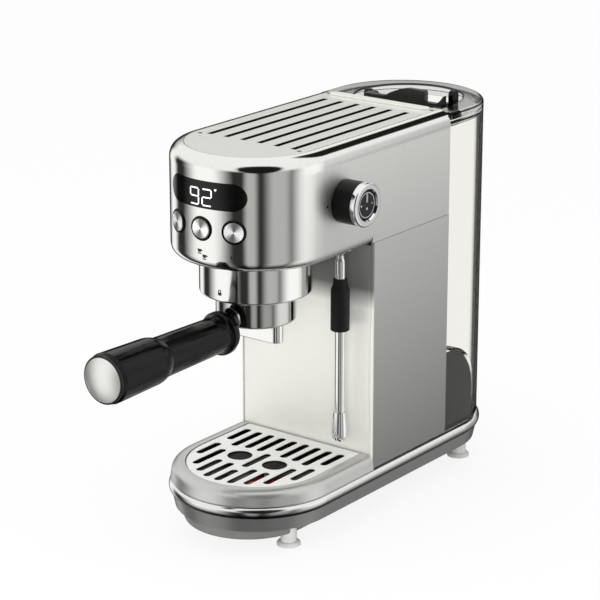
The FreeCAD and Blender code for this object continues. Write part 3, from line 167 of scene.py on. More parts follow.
def headSheet():
    # The same sheet, a mirror round the front and hazier on the flat sides, with painted shade that darkens
    # the flat sides towards their lower edge.
    options = headSide
    material, tree, shader = reopen(polishedStainless("polished stainless head with painted shade", polished))
    flat = between(tree, "Y", options["front"], options["flat"])
    side = between(tree, "Z", options["round"], options["underRound"])
    side = addNode(tree, "Math", [flat, side], operation="MULTIPLY")
    gloss = shader.inputs["Roughness"].links[0].from_socket
    haze = addNode(tree, "Math", [side, options["haze"], gloss], operation="MULTIPLY_ADD")
    tree.links.new(haze, shader.inputs["Roughness"])
    # painted shade: the flat sides grey towards the bottom, where less light falls
    foot = between(tree, "Z", options["high"], options["low"])
    foot = addNode(tree, "Math", [foot, options["foot"]], operation="MULTIPLY")
    share = addNode(tree, "Math", [flat, foot], operation="MULTIPLY")
    layOver(tree, shader, share, options["colour"])
    return material


neck = {"start": -88.7, "colour": "#0C0C0C"}


def platedBowl():
    # Chromed brass, buffed: a darker mirror than sheet, with the neck behind the grip blacked.
    material, tree, shader = reopen(polishedStainless("buffed chromed brass", bowl))
    blacked = between(tree, "Y", neck["start"] + edgeSoft, neck["start"] - edgeSoft)
    layOver(tree, shader, blacked, neck["colour"], bare=True)
    return material


brushed = {"colour": "#D2D2D0", "dull": "#CACAC8", "metallic": 0.9, "smooth": 0.3, "rough": 0.36,
           "line": 0.8, "run": 45.0, "depth": 0.01}
front = {"colour": "#F6F6EE", "dull": "#F0F0E8", "metallic": 0.35, "smooth": 0.4, "rough": 0.46,
         "line": 1.2, "run": 40.0, "depth": 0.01}
topSatin = {"colour": "#FCFCF5", "dull": "#F6F6EF", "metallic": 0.75, "smooth": 0.26, "rough": 0.32,
            "line": 1.0, "run": 30.0, "depth": 0.01, "cut": 292.5, "cutShadeColour": "#050505"}
grilleSatin = {"colour": "#FFFFFE", "dull": "#F8F8F6", "metallic": 0.5, "smooth": 0.26, "rough": 0.32,
               "line": 1.0, "run": 30.0, "depth": 0.01, "cut": 49.8, "cutShadeColour": "#050505"}
traySatin = {"colour": "#CFCFCD", "dull": "#C6C6C4", "metallic": 0.85, "smooth": 0.3, "rough": 0.36,
             "line": 1.0, "run": 30.0, "depth": 0.01}


def brushedStainless(name, options):
    # Stainless sheet, belt brushed front to back: fine lines that smear what it mirrors.
    # Real lines are about 0.1 mm apart; they are drawn at about 1 mm so that they show.
    material, tree, shader = startMaterial(name, options["colour"], options["metallic"], options["smooth"])
    lines = spotsOf(tree, (options["line"], options["run"], options["line"]), 4.0)
    layFinish(tree, shader, lines, options["dull"], options["colour"], options["smooth"], options["rough"],
              (options["depth"], 0.25))
    return material


# painted shade under the head: grey from the low level up to the high level and above it
paintedHeadShade = {"low": 163.0, "high": 178.0, "colour": "#747472"}


def frontSheet():
    # The same sheet, brighter: a pale cream sheen, with painted shade greying it under the head, standing
    # in for the head's dark underside mirrored there.
    material, tree, shader = reopen(brushedStainless("bright stainless front with painted shade", front))
    # painted shade: the grey band under the head
    layOver(tree, shader, between(tree, "Z", paintedHeadShade["low"], paintedHeadShade["high"]), paintedHeadShade["colour"])
    return material


sidePanelAndShade = {"low": 38.0, "high": 214.0, "colour": "#8E8E8C", "bendStart": 1.6, "bendEnd": 2.8,
             "bright": "#F6F6EE"}


def columnSheet():
    # The same sheet, with painted shade darkening it towards the counter and under the head; its front bend
    # is as pale as the front.
    material, tree, shader = reopen(brushedStainless("brushed stainless column with painted shade", brushed))
    # painted shade: darker towards the counter
    layOver(tree, shader, between(tree, "Z", sidePanelAndShade["high"], sidePanelAndShade["low"]), sidePanelAndShade["colour"])
    # the painted shade under the head lies on the pale front bend too
    share = between(tree, "Z", paintedHeadShade["low"], paintedHeadShade["high"])
    bend = addNode(tree, "Mix", {0: share, 6: srgb(sidePanelAndShade["bright"]), 7: srgb(paintedHeadShade["colour"])}, 2,
                   data_type="RGBA")
    behind = between(tree, "Y", sidePanelAndShade["bendStart"], sidePanelAndShade["bendEnd"])
    sheet = shader.inputs["Base Color"].links[0].from_socket
    sheet = addNode(tree, "Mix", {0: behind, 6: bend, 7: sheet}, 2, data_type="RGBA")
    tree.links.new(sheet, shader.inputs["Base Color"])
    metal = addNode(tree, "MapRange", [behind, 0.0, 1.0, front["metallic"], brushed["metallic"]])
    tree.links.new(metal, shader.inputs["Metallic"])
    return material


def slottedSheet(name, options):
    # Punched sheet with the same satin, and painted shade darkening the cut edges of its slots.
    material, tree, shader = reopen(brushedStainless(name, options))
    # painted shade on the slot walls below the cut level
    depth = between(tree, "Z", options["cut"] + edgeSoft, options["cut"] - edgeSoft)
    layOver(tree, shader, depth, options["cutShadeColour"], bare=True)
    return material


# the dark bands of painted shade round the slots: pitch, band width, ends, soft edges and colour
ventShadeBands = {"pitch": 15.0, "width": 4.8, "front": -64.5, "back": 75.5, "soft": 0.15, "endSoft": 0.3,
         "colour": "#0A0A0A"}


def ventedSheet():
    # Anodised aluminium, punched: a pale satin, with painted shade in dark bands along the rolled edges of
    # its long slots.
    material, tree, shader = reopen(slottedSheet("satin anodised aluminium", topSatin))
    half = ventShadeBands["pitch"] / 2
    edge = half - ventShadeBands["width"] / 2
    across = addNode(tree, "Math", [ownPlace(tree)["X"], half * mm], operation="PINGPONG")
    start, stop = (edge - ventShadeBands["soft"]) * mm, (edge + ventShadeBands["soft"]) * mm
    share = addNode(tree, "MapRange", [across, start, stop, 0.0, 1.0])
    for end, outside in ((ventShadeBands["front"], -ventShadeBands["endSoft"]), (ventShadeBands["back"], ventShadeBands["endSoft"])):
        within = between(tree, "Y", end + outside, end - outside)
        share = addNode(tree, "Math", [share, within], operation="MULTIPLY")
    # painted shade: dark bands round the slots
    layOver(tree, shader, share, ventShadeBands["colour"])
    return material


trayInsideAndShade = {"half": 53.2, "rim": 48.3, "colour": "#050505"}


def silverTray():
    # ABS with a silver lacquer, sprayed and brushed: a soft metallic grey, and bare black plastic inside,
    # painted near black so that it also stands for the shade under the grille.
    material, tree, shader = reopen(brushedStainless("silver lacquered ABS", traySatin))
    wall = reachPast(tree, "Y", plan["groupY"], trayInsideAndShade["half"], "MINIMUM")
    rim = between(tree, "Z", trayInsideAndShade["rim"] - edgeSoft, trayInsideAndShade["rim"] + edgeSoft)
    outside = addNode(tree, "Math", [wall, rim], operation="MAXIMUM")
    inside = addNode(tree, "Math", [1.0, outside], operation="SUBTRACT")
    # near black inside: bare plastic, and painted shade under the grille
    layOver(tree, shader, inside, trayInsideAndShade["colour"], bare=True)
    return material


chrome = {"colour": "#F4F4F4", "haze": "#EAEAEA", "smooth": 0.04, "rough": 0.09, "patch": 14.0}
wandChrome = {"colour": "#F4F4F4", "haze": "#EAEAEA", "smooth": 0.1, "rough": 0.15, "patch": 14.0}
trimChrome = {"colour": "#F0F0EE", "haze": "#E4E4E2", "smooth": 0.14, "rough": 0.2, "patch": 14.0}
capSatin = {"colour": "#F4F4F1", "haze": "#ECECE8", "smooth": 0.34, "rough": 0.4, "patch": 6.0}


def chromePlate(name, options):
    # Chrome plate: a mirror with a little haze in patches from wiping.
    material, tree, shader = startMaterial(name, options["colour"], 1.0, options["smooth"])
    haze = spotsOf(tree, (options["patch"],) * 3, 2.0)
    layFinish(tree, shader, haze, options["haze"], options["colour"], options["smooth"], options["rough"])
    return material


beadFlankShade = {"high": 35.6, "low": 31.8, "colour": "#3A3A39"}


def beadChrome():
    # Chrome on ABS: bright on top; its lower flank, which faces the counter, carries a painted dark
    # reflection of it.
    material, tree, shader = reopen(chromePlate("chrome on ABS", trimChrome))
    # painted dark reflection on the lower flank
    layOver(tree, shader, between(tree, "Z", beadFlankShade["high"], beadFlankShade["low"]), beadFlankShade["colour"])
    return material


capRim = {"height": 160.0, "radius": 15.7, "colour": "#060606"}


def rimmedCap():
    # Satin chrome on ABS, with the grip's black rim left round its edge.
    material, tree, shader = reopen(chromePlate("satin chrome on ABS", capSatin))
    rim = reachPast(tree, "Z", capRim["height"], capRim["radius"])
    layOver(tree, shader, rim, capRim["colour"], bare=True)
    return material


def mouldedPlastic(name, options):
    # Moulded plastic: a spark-eroded grain that dulls its gloss, 0.3 mm across on the real tool
    # and drawn at grainSize so that it shows.
    material, tree, shader = startMaterial(name, options["colour"], 0.0, options["rough"], IOR=1.54,
                                           Specular_IOR_Level=options["gloss"])
    grain = spotsOf(tree, (options["grainSize"],) * 3, 3.0)
    layFinish(tree, shader, grain, options["dark"], options["colour"], options["rough"] - 0.05,
              options["rough"] + 0.05, (options["grainDepth"], 0.3))
    return material


silverPaint = {"colour": "#8E8E8D", "dark": "#858584", "metallic": 0.75, "rough": 0.36, "flake": 0.9,
               "deck": 38.4, "deckPaintedLight": "#E4E4E2"}


def paintedSilver():
    # Silver-painted ABS, sprayed: aluminium flake in lacquer, a soft metallic grey, with painted light
    # making the deck paler to lift the shade on its ledge.
    # Real flake is about 0.05 mm; it is drawn at 0.9 mm so that it shows.
    options = silverPaint
    material, tree, shader = startMaterial("silver painted ABS", options["colour"], options["metallic"],
                                           options["rough"], Coat_Weight=0.25, Coat_Roughness=0.12)
    flake = spotsOf(tree, (options["flake"],) * 3, 2.0)
    layFinish(tree, shader, flake, options["dark"], options["colour"], options["rough"] - 0.04,
              options["rough"] + 0.06)
    # painted light: the deck's ledge paler than the rest
    deck = between(tree, "Z", options["deck"] - edgeSoft, options["deck"] + edgeSoft)
    layOver(tree, shader, deck, options["deckPaintedLight"])
    return material


tankPlastic = {"colour": "#F8F8F4", "edge": "#101010", "rough": 0.03, "patch": 30.0, "rim": 282.6,
               "clear": 0.61, "dark": 0.72}
lidPlastic = {"colour": "#E2E2E0", "edge": "#101010", "rough": 0.2, "patch": 30.0, "rim": 300.0,
              "clear": 0.71, "dark": 0.82}


def clearSan(name, options):
    # Clear SAN, injection moulded: glassy, slightly rippled, with painted dark reflections tinting it where
    # one looks along a wall and along its rim.
    # Its IOR is far below the usual 1.57, which veiled the dock and the lid in grey.
    material, tree, shader = startMaterial(name, options["colour"], 0.0, options["rough"],
                                           IOR=1.06, Transmission_Weight=1.0)
    ripple = spotsOf(tree, (options["patch"],) * 3, 1.0)
    gloss = addNode(tree, "MapRange", [ripple, 0.0, 1.0, options["rough"] - 0.02, options["rough"] + 0.03])
    tree.links.new(gloss, shader.inputs["Roughness"])
    # painted dark reflection: darker tint at grazing angles and along the rim
    along = addNode(tree, "LayerWeight", {"Blend": 0.5}, "Facing")
    edge = addNode(tree, "MapRange", [along, options["clear"], options["dark"], 0.0, 1.0])
    rim = between(tree, "Z", options["rim"] - edgeSoft, options["rim"] + edgeSoft)
    edge = addNode(tree, "Math", [edge, rim], operation="MAXIMUM")
    tint = addNode(tree, "Mix", {0: edge, 6: srgb(options["colour"]), 7: srgb(options["edge"])}, 2,
                   data_type="RGBA")
    tree.links.new(tint, shader.inputs["Base Color"])
    return material


lidShadeLines = {"edge": 60.0, "top": 289.2, "roundY": 125.0, "hole": 42.9, "holeY": 131.0, "colour": "#0C0C0C"}


def linedLid():
    # Frosted SAN, moulded: grey and milky, with painted shade in dark lines along its outer edge and round
    # its hole.
    options = lidShadeLines
    material, tree, shader = reopen(clearSan("frosted moulded SAN", lidPlastic))
    outer = reachPast(tree, "Y", options["roundY"], options["edge"], "MAXIMUM")
    inner = reachPast(tree, "Y", options["holeY"], options["hole"])
    inner = addNode(tree, "Math", [1.0, inner], operation="SUBTRACT")
    line = addNode(tree, "Math", [outer, inner], operation="MAXIMUM")
    top = between(tree, "Z", options["top"] - edgeSoft, options["top"] + edgeSoft)
    line = addNode(tree, "Math", [line, top], operation="MULTIPLY")
    # painted shade: the dark lines along the edge and round the hole
    layOver(tree, shader, line, options["colour"])
    return material


def glossyAcrylic(name, colour, edge):
    # Acrylic, cast and polished: glassy, with faint wiping marks about 6 mm wide.
    material, tree, shader = startMaterial(name, colour, 0.0, 0.06, IOR=1.49, Specular_IOR_Level=0.3)
    wipe = spotsOf(tree, (6.0, 6.0, 6.0), 3.0)
    layFinish(tree, shader, wipe, colour, edge, 0.05, 0.12)
    return material


pointer = {"face": 80.3, "rise": 0.1, "top": 0.3, "colour": "#9A9A9A"}


def printedDial():
    # Black acrylic, cast: glassy, with the raised pointer hot-stamped pale grey.
    material, tree, shader = reopen(glossyAcrylic("black cast acrylic", "#0E0E0F", "#161617"))
    raised = between(tree, "X", pointer["face"] + pointer["rise"], pointer["face"] + pointer["top"])
    layOver(tree, shader, raised, pointer["colour"])
    return material


def rubberSkin(name, colour, dark, rough):
    # Moulded rubber: matte, with a fine dusty bloom in patches about 2 mm across.
    material, tree, shader = startMaterial(name, colour, 0.0, rough, IOR=1.52, Specular_IOR_Level=0.3)
    bloom = spotsOf(tree, (2.0, 2.0, 2.0), 4.0)
    layFinish(tree, shader, bloom, dark, colour, rough - 0.08, rough + 0.08, (0.05, 0.2))
    return material


def castMetal(name, colour, dark, metallic, rough, grainSize):
    # Cast or turned metal, and painted iron: a dull skin with grains from 1 to 1.5 mm across.
    material, tree, shader = startMaterial(name, colour, metallic, rough)
    skin = spotsOf(tree, (grainSize,) * 3, 5.0)
    layFinish(tree, shader, skin, dark, colour, rough - 0.08, rough + 0.08, (0.08, 0.3))
    return material


buttonFaceAndHighlight = {"colour": "#FFFFFF", "dull": "#6E6E6C", "metallic": 0.5, "rough": 0.3, "height": 241.9,
              "lean": 25.0}


def spunAluminium(name, angle):
    # Aluminium cap, spun on its face: rings too fine to see; the light they fan out is painted in as two
    # pale highlight wedges between dull ones.
    options = buttonFaceAndHighlight
    material, tree, shader = startMaterial(name, options["colour"], options["metallic"], options["rough"])
    a = math.radians(angle)
    sideways = Vector((math.cos(a), math.sin(a), 0))
    middle = roundPlace(plan["bodyHalf"], angle, options["height"])
    spot = addNode(tree, "TexCoord", [], "Object")
    offset = addNode(tree, "VectorMath", [spot, middle], operation="SUBTRACT")
    across = addNode(tree, "VectorMath", [offset, sideways], "Value", operation="DOT_PRODUCT")
    up = addNode(tree, "SeparateXYZ", [offset], "Z")
    turn = addNode(tree, "Math", [up, across], operation="ARCTAN2")
    twice = addNode(tree, "Math", [turn, 2.0, math.radians(options["lean"])], operation="MULTIPLY_ADD")
    fan = addNode(tree, "Math", [twice], operation="COSINE")
    # painted highlight: pale wedges where the spun rings would catch the light
    paintedHighlightSectors = addNode(tree, "MapRange", [fan, -0.9, 0.7, 0.0, 1.0])
    layFinish(tree, shader, paintedHighlightSectors, options["dull"], options["colour"], options["rough"],
              options["rough"] + 0.08)
    return material


blackGrain = {"colour": "#080808", "dark": "#040404", "rough": 0.15, "gloss": 0.18, "grainSize": 0.9,
              "grainDepth": 0.02}
knobGrain = {"colour": "#0B0B0B", "dark": "#060606", "rough": 0.36, "gloss": 0.2, "grainSize": 0.8,
             "grainDepth": 0.04}
dockGrain = {"colour": "#0C0C0C", "dark": "#080808", "rough": 0.36, "gloss": 0.5, "grainSize": 0.9,
             "grainDepth": 0.04}
bailGrain = {"colour": "#333333", "dark": "#2A2A2A", "rough": 0.36, "gloss": 0.45, "grainSize": 0.9,
             "grainDepth": 0.03}
coverGrain = {"colour": "#7C7C7B", "dark": "#727271", "rough": 0.42, "gloss": 0.5, "grainSize": 0.9,
              "grainDepth": 0.05}
backGrain = {"colour": "#B4B4B2", "dark": "#AAAAA8", "rough": 0.42, "gloss": 0.5, "grainSize": 0.9,
             "grainDepth": 0.05}
boardGrain = {"colour": "#1F5A32", "dark": "#174726", "rough": 0.4, "gloss": 0.5, "grainSize": 1.2,
              "grainDepth": 0.02}

finishes = [
    (headSheet(), "head_shell"),
    (polishedStainless("polished stainless sheet", polished), "group_collar spout wand_nut"),
    (platedBowl(), "portafilter_body"),
    (columnSheet(), "column_side_left column_side_right"),
    (brushedStainless("brushed stainless sheet", brushed), "head_bottom_plate filter_basket shower_screen"),
    (brushedStainless("bright stainless sheet", front), "rear_trim_bar"),
    (frontSheet(), "column_front"),
    (slottedSheet("satin stainless grille", grilleSatin), "drip_grille"),
    (ventedSheet(), "top_panel"),
    (silverTray(), "drip_tray"),
    (chromePlate("chrome on steel", chrome), "knob_ring cover_screws shower_screw"),
    (chromePlate("chrome on steel tube", wandChrome), "wand_tube wand_tip"),
    (beadChrome(), "base_trim_ring"),
    (rimmedCap(), "handle_cap"),
    (paintedSilver(), "base_shell"),
    (clearSan("clear moulded SAN", tankPlastic), "tank_shell"),
    (linedLid(), "tank_lid"),
    (mouldedPlastic("black moulded ABS", blackGrain),
     "handle_grip button_bezels handle_lugs top_screws display_module front_carrier button_switches"),
    (mouldedPlastic("black textured ABS", knobGrain), "knob_body"),
    (mouldedPlastic("dark grey moulded ABS", dockGrain), "tank_dock tank_valve"),
    (mouldedPlastic("grey moulded ABS", bailGrain), "tank_handle"),
    (mouldedPlastic("grey moulded polypropylene", coverGrain), "base_cover"),
    (mouldedPlastic("pale grey moulded polypropylene", backGrain), "column_back"),
    (mouldedPlastic("green glass-epoxy board", boardGrain), "main_board"),
    (glossyAcrylic("smoked cast acrylic", "#060607", "#0B0B0C"), "display_window"),
    (printedDial(), "knob_dial"),
    (glossyAcrylic("red moulded polystyrene", "#A81712", "#8C100C"), "drip_float"),
    (rubberSkin("pale moulded silicone rubber", "#E2E2E0", "#D4D4D2", 0.4), "feet"),
    (rubberSkin("black moulded rubber", "#121212", "#0A0A0A", 0.55),
     "cord_gland wand_sleeve group_gasket dock_seal"),
    (rubberSkin("white silicone tube", "#DADAD4", "#CACAC4", 0.5), "water_hoses"),
    (castMetal("cast aluminium", "#BDBDBC", "#A2A2A1", 1.0, 0.42, 1.5), "thermoblock group_head"),
    (castMetal("turned brass", "#C9A552", "#AF8B3C", 1.0, 0.32, 1.0), "valve_body valve_stem"),
    (castMetal("black painted iron", "#2A2B2D", "#1E1F21", 0.2, 0.5, 1.2), "pump"),
]
for side, angle in (("left", -24.0), ("middle", 0.0), ("right", 24.0)):
    finishes.append((spunAluminium("spun aluminium " + side, angle), "button_" + side))
for material, names in finishes:
    for name in names.split():
        nodes[name].data.materials.clear()
        nodes[name].data.materials.append(material)
print("finishes laid on:", len(finishes))

# Printed and lit marks: thin plates that follow the face they sit on

def strip(ax, ay, bx, by, width):
    # a stroke from one point to another, with pointed ends
    run = Vector((bx - ax, by - ay))
    along = run.normalized() * width / 2
    side = Vector((-along.y, along.x))
    a, b = Vector((ax, ay)), Vector((bx, by))
    return [a, a + along + side, b - along + side, b, b - along - side, a + along - side]


def disc(x, y, radius, count=20):
    turns = [2 * math.pi * i / count for i in range(count)]
    return [Vector((x + radius * math.cos(t), y + radius * math.sin(t))) for t in turns]


def hoop(x, y, radius, width, count):
    # a ring, drawn as a row of short blocks that meet
    blocks = []
    for i in range(count):
        corners = []
        for step, reach in ((i, -1), (i + 1, -1), (i + 1, 1), (i, 1)):
            t = 2 * math.pi * step / count
            r = radius + reach * width / 2
            corners.append(Vector((x + r * math.cos(t), y + r * math.sin(t))))
        blocks.append(corners)
    return blocks


def markPlate(name, shapes, toFace, low, high, body, material, cell=1.5):
    # shapes are outlines in millimetres on the face; they are cut in narrow cells so that they
    # bend with the face, and then given a thickness from low to high above it
    form = bmesh.new()
    for shape in shapes:
        form.faces.new([form.verts.new((p.x, p.y, 0)) for p in shape])
    bmesh.ops.remove_doubles(form, verts=form.verts[:], dist=1e-4)
    left = min(v.co.x for v in form.verts)
    right = max(v.co.x for v in form.verts)
    for i in range(1, int((right - left) / cell) + 1):
        everything = form.verts[:] + form.edges[:] + form.faces[:]
        bmesh.ops.bisect_plane(form, geom=everything, plane_co=(left + i * cell, 0, 0), plane_no=(1, 0, 0))
    upper = bmesh.ops.extrude_face_region(form, geom=form.faces[:])["geom"]
    tops = {v for v in upper if isinstance(v, bmesh.types.BMVert)}
    for vert in form.verts:
        vert.co = toFace(vert.co.x, vert.co.y, high if vert in tops else low)
    bmesh.ops.recalc_face_normals(form, faces=form.faces[:])
    mesh = bpy.data.meshes.new(name)
    form.to_mesh(mesh)
    form.free()
    mesh.materials.append(material)
    piece = bpy.data.objects.new(name, mesh)
    bpy.context.scene.collection.objects.link(piece)
    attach(piece, body)


def headFace(across, up, proud):
    radius = plan["bodyHalf"] + proud
    return roundPlace(radius, math.degrees(across / plan["bodyHalf"]), up)


def collarFace(across, up, proud):
    radius = plan["collarRadius"] + proud
    return roundPlace(radius, math.degrees(across / plan["collarRadius"]), up)


def sideFace(across, up, proud):
    return place(plan["bodyHalf"] + proud, across, up)


def dialFace(across, up, proud):
    return place(pointer["face"] + proud, across, up)


digits = {"low": 259.0, "high": 270.6, "width": 7.6, "gap": 3.2, "stroke": 1.0, "joint": 0.25,
          "start": -9.4, "degreeX": 12.2, "degreeZ": 271.0, "degreeRadius": 0.6, "degreeStroke": 0.45,
          "face": 0.26, "top": 0.42, "colour": "#F4F6F6", "dim": "#DCE2E4", "cloud": 1.2, "glow": 0.6}


def ledLight():
    # White LED segments behind smoked acrylic: bright, even and slightly soft at the edges.
    options = digits
    material, tree, shader = startMaterial("lit white LED", options["colour"], 0.0, 0.4,
                                           Emission_Strength=options["glow"])
    cloud = spotsOf(tree, (options["cloud"],) * 3, 2.0)
    light = addNode(tree, "Mix", {0: cloud, 6: srgb(options["dim"]), 7: srgb(options["colour"])}, 2,
                    data_type="RGBA")
    tree.links.new(light, shader.inputs["Emission Color"])
    return material


def sevenSegments(x, pattern):
    # strokes of one digit by their letters: a is the top, b to f go on round it, g is the middle
    options = digits
    low, high, width = options["low"], options["high"], options["width"]
    middle, gap = (low + high) / 2, options["joint"]
    right = x + width
    ends = {"a": (x + gap, high, right - gap, high), "b": (right, high - gap, right, middle + gap),
            "c": (right, middle - gap, right, low + gap), "d": (x + gap, low, right - gap, low),
            "e": (x, middle - gap, x, low + gap), "f": (x, high - gap, x, middle + gap),
            "g": (x + gap, middle, right - gap, middle)}
    return [strip(*ends[key], options["stroke"]) for key in pattern]


def makeReadout():
    options = digits
    shapes = sevenSegments(options["start"], "abcdfg")
    shapes += sevenSegments(options["start"] + options["width"] + options["gap"], "abged")
    shapes += hoop(options["degreeX"], options["degreeZ"], options["degreeRadius"],
                   options["degreeStroke"], 14)
    markPlate("display_digits", shapes, headFace, options["face"], options["top"], "machine",
              ledLight())


symbols = {"colour": "#161616", "worn": "#242424", "wear": 0.8, "smooth": 0.5, "rough": 0.7,
           "height": 223.6, "stroke": 1.0, "low": 0.02, "high": 0.14}


def printInk():
    # Pad-printed ink: thin, matte and dark, a little worn.
    material, tree, shader = startMaterial("pad-printed ink", symbols["colour"], 0.0, symbols["smooth"])
    wear = spotsOf(tree, (symbols["wear"],) * 3, 3.0)
    layFinish(tree, shader, wear, symbols["worn"], symbols["colour"], symbols["smooth"], symbols["rough"])
    return material


def cup(x, z, width):
    # a cup seen from its side, with its handle and a saucer line
    half, deep = width / 2, 0.62 * width
    body = [Vector((x - half, z + deep)), Vector((x - 0.6 * half, z)), Vector((x + 0.6 * half, z)),
            Vector((x + half, z + deep))]
    handle = strip(x + 0.8 * half, z + 0.75 * deep, x + 1.5 * half, z + 0.45 * deep, symbols["stroke"])
    return [body, handle, strip(x - half, z - 0.9, x + half, z - 0.9, 0.7)]


def steam(x, z):
    # three rising strokes that fan out
    strokes = []
    for i in (-1, 0, 1):
        strokes.append(strip(x + i * 1.2, z, x + i * 2.1, z + 4.4 - abs(i) * 0.8, symbols["stroke"]))
    return strokes


def padlock(x, z):
    body = [Vector((x - 1.5, z - 1.6)), Vector((x + 1.5, z - 1.6)), Vector((x + 1.5, z + 0.6)),
            Vector((x - 1.5, z + 0.6))]
    bow = [strip(x - 1.0, z + 0.5, x - 1.0, z + 2.2, 0.6), strip(x + 1.0, z + 0.5, x + 1.0, z + 2.2, 0.6),
           strip(x - 1.2, z + 2.2, x + 1.2, z + 2.2, 0.6)]
    return [body] + bow


def makeSymbols():
    ink = printInk()
    low, high, z = symbols["low"], symbols["high"], symbols["height"]
    shapes = cup(-24.0, z - 1.0, 4.2)                                 # one cup, on the left
    shapes += cup(-1.9, z + 1.0, 3.6) + cup(2.5, z - 2.6, 3.6)        # two cups, in the middle
    shapes += steam(25.4, z - 2.2)                                    # steam, on the right
    markPlate("button_symbols", shapes, headFace, low, high, "machine", ink)
    markPlate("lock_symbol", padlock(-0.4, 189.5), collarFace, low, high, "machine", ink)
    markPlate("knob_mark", [disc(-55.4, 253.2, 1.0)], sideFace, low, high, "machine", ink)


foil = {"colour": "#F4F4F4", "haze": "#EAEAEA", "smooth": 0.12, "rough": 0.2, "patch": 14.0}
dialMarks = {"y": -35.2, "z": 253.4, "ringRadius": 8.9, "ringWidth": 0.55, "low": 0.02, "high": 0.2}


def makeDialMarks():
    y, z = dialMarks["y"], dialMarks["z"]
    pale = chromePlate("hot-stamped silver foil", foil)
    shapes = [disc(y, z - 2.6, 0.95), disc(y - 6.6, z + 0.4, 0.8), disc(y + 6.2, z + 0.4, 0.6)]
    shapes += hoop(y, z, dialMarks["ringRadius"], dialMarks["ringWidth"], 40)
    markPlate("dial_marks", shapes, dialFace, dialMarks["low"], dialMarks["high"], "knob",
              pale)


makeReadout()
makeSymbols()
makeDialMarks()
print("marks made")

# Stage, light and camera

studio = {"floorColour": "#FFFFFF", "floorHalf": 6.0, "floorGlow": 0.87, "floorShade": 0.13, "sky": 0.98,
          "zenith": 1.0, "dim": 0.9, "room": 0.03, "flag": 0.01,
          "counter": (-0.9, -0.55), "cardTops": (0.08, 0.33), "overhead": (0.4, 0.9)}    # sines of heights

# Softboxes: place and aim in metres, size and power
boxes = {"top softbox": ((0.1, -0.2, 1.6), (0, 0, 0.15), 1.4, 4.0),
         "front softbox": ((0.62, -0.98, 0.32), (0, -0.03, 0.13), 0.6, 7.0)}

# Light cards round the table: direction in degrees from straight ahead towards the knob's side,
# half width and soft edge in degrees, and brightness. Upright metal shows them as bands.
cards = {"left strip": (-105, 4, 15, 1.05), "front panel": (-33, 10, 35, 1.1),
         "narrow fill": (32, 3, 10, 0.5), "side fill": (70, 6, 20, 0.5),
         "side panel": (120, 8, 35, 1.1), "back wall": (150, 25, 10, 0.4)}

# Black flags over the table: direction, height and half width in degrees
flags = [(44.0, 29.0, 32.0), (181.0, 38.0, 19.0), (-143.0, -2.0, 16.0)]


def grey(level):
    return (level, level, level, 1.0)


def seenDirectly(tree):
    # 1 for what the camera sees, straight or through the clear tank
    path = addNode(tree, "LightPath", []).node.outputs
    return addNode(tree, "Math", [path["Is Camera Ray"], path["Is Transmission Ray"]], operation="MAXIMUM")


def makeFloor():
    half = studio["floorHalf"]
    corners = [(-half, -half, 0), (half, -half, 0), (half, half, 0), (-half, half, 0)]
    mesh = bpy.data.meshes.new("floor")
    mesh.from_pydata(corners, [], [(0, 1, 2, 3)])
    floor = bpy.data.objects.new("floor", mesh)
    bpy.context.scene.collection.objects.link(floor)
    material, tree, shader = startMaterial("white paper floor", studio["floorColour"], 0.0, 0.8,
                                           Specular_IOR_Level=0.0)
    # seen directly or through the tank it is white paper with a faint shadow
    seen = seenDirectly(tree)
    white = srgb(studio["floorColour"])
    shader.inputs["Emission Color"].default_value = white
    paper = addNode(tree, "Mix", {0: seen, 6: white, 7: grey(studio["floorShade"])}, 2, data_type="RGBA")
    tree.links.new(paper, shader.inputs["Base Color"])
    glow = addNode(tree, "MapRange", [seen, 0.0, 1.0, 0.0, studio["floorGlow"]])
    tree.links.new(glow, shader.inputs["Emission Strength"])
    mesh.materials.append(material)
    floor.visible_glossy = False    # polished metal shows the cards instead


def cardRing(tree, angle):
    # the brightest card in each direction, in a nearly black room
    light = studio["room"]
    for turn, half, soft, level in cards.values():
        away = addNode(tree, "Math", [angle, math.radians(turn)], operation="SUBTRACT")
        away = addNode(tree, "Math", [away, math.pi], operation="PINGPONG")
        card = addNode(tree, "MapRange", [away, math.radians(half + soft), math.radians(half), 0.0, level],
                       interpolation_type="SMOOTHSTEP")
        light = addNode(tree, "Math", [light, card], operation="MAXIMUM")
    return light


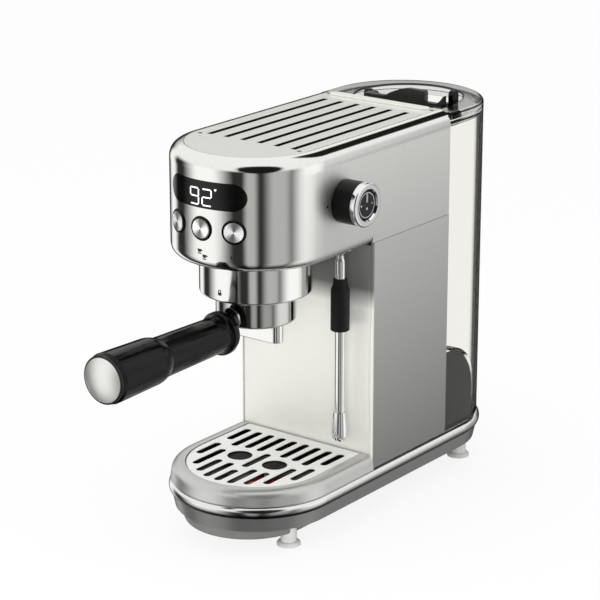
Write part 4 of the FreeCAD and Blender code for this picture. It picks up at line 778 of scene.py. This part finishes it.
def makeWorld():
    world = bpy.data.worlds.new("studio")
    world.use_nodes = True
    bpy.context.scene.world = world
    tree = world.node_tree
    back = tree.nodes["Background"]
    way = addNode(tree, "TexCoord", [], "Generated")
    axes = addNode(tree, "SeparateXYZ", [way]).node.outputs
    ahead = addNode(tree, "Math", [axes["Y"], -1.0], operation="MULTIPLY")
    angle = addNode(tree, "Math", [axes["X"], ahead], operation="ARCTAN2")
    height = axes["Z"]
    overhead = addNode(tree, "MapRange", [height, *studio["overhead"], 0.0, 1.0])
    upper = addNode(tree, "Mix", {0: overhead, 6: grey(studio["sky"]), 7: grey(studio["zenith"])}, 2,
                    data_type="RGBA")
    below = addNode(tree, "MapRange", [height, *studio["counter"], studio["dim"], 0.0])
    lower = addNode(tree, "Mix", {0: below, 6: cardRing(tree, angle), 7: grey(0.0)}, 2, data_type="RGBA")
    above = addNode(tree, "MapRange", [height, *studio["cardTops"], 0.0, 1.0])
    room = addNode(tree, "Mix", {0: above, 6: lower, 7: upper}, 2, data_type="RGBA")
    for turn, rise, half in flags:
        t, r = math.radians(turn), math.radians(rise)
        middle = (math.cos(r) * math.sin(t), -math.cos(r) * math.cos(t), math.sin(r))
        near = addNode(tree, "VectorMath", [way, middle], "Value", operation="DOT_PRODUCT")
        outer, inner = math.cos(math.radians(half)), math.cos(math.radians(0.8 * half))
        flag = addNode(tree, "MapRange", [near, outer, inner, 0.0, 1.0])
        room = addNode(tree, "Mix", {0: flag, 6: room, 7: grey(studio["flag"])}, 2, data_type="RGBA")
    seen = seenDirectly(tree)
    white = addNode(tree, "Mix", {0: seen, 6: room, 7: grey(1.0)}, 2, data_type="RGBA")
    tree.links.new(white, back.inputs["Color"])
    back.inputs["Strength"].default_value = 1.0


def softbox(name, spot, aim, size, power):
    light = bpy.data.lights.new(name, "AREA")
    light.shape = "SQUARE"
    light.size, light.energy = size, power
    lamp = bpy.data.objects.new(name, light)
    lamp.location = spot
    lamp.rotation_euler = (Vector(aim) - Vector(spot)).to_track_quat("-Z", "Y").to_euler()
    lamp.visible_glossy = False    # polished metal shows the cards instead
    bpy.context.scene.collection.objects.link(lamp)


photoView = {"spot": (1010.4, -1337.8, 695.8), "turn": 37.2, "dip": 17.75, "lens": 142.2}


def makeCamera():
    view = bpy.data.cameras.new("photo view")
    view.sensor_width, view.lens = 36.0, photoView["lens"]
    view.clip_start, view.clip_end = 0.05, 50
    camera = bpy.data.objects.new("photo view", view)
    camera.location = place(*photoView["spot"])
    camera.rotation_euler = (math.radians(90 - photoView["dip"]), 0, math.radians(photoView["turn"]))
    bpy.context.scene.collection.objects.link(camera)
    bpy.context.scene.camera = camera


makeFloor()
makeWorld()
for name, (spot, aim, size, power) in boxes.items():
    softbox(name, spot, aim, size, power)
makeCamera()
bpy.context.scene.view_settings.view_transform = "Standard"
print("stage, light and camera set")
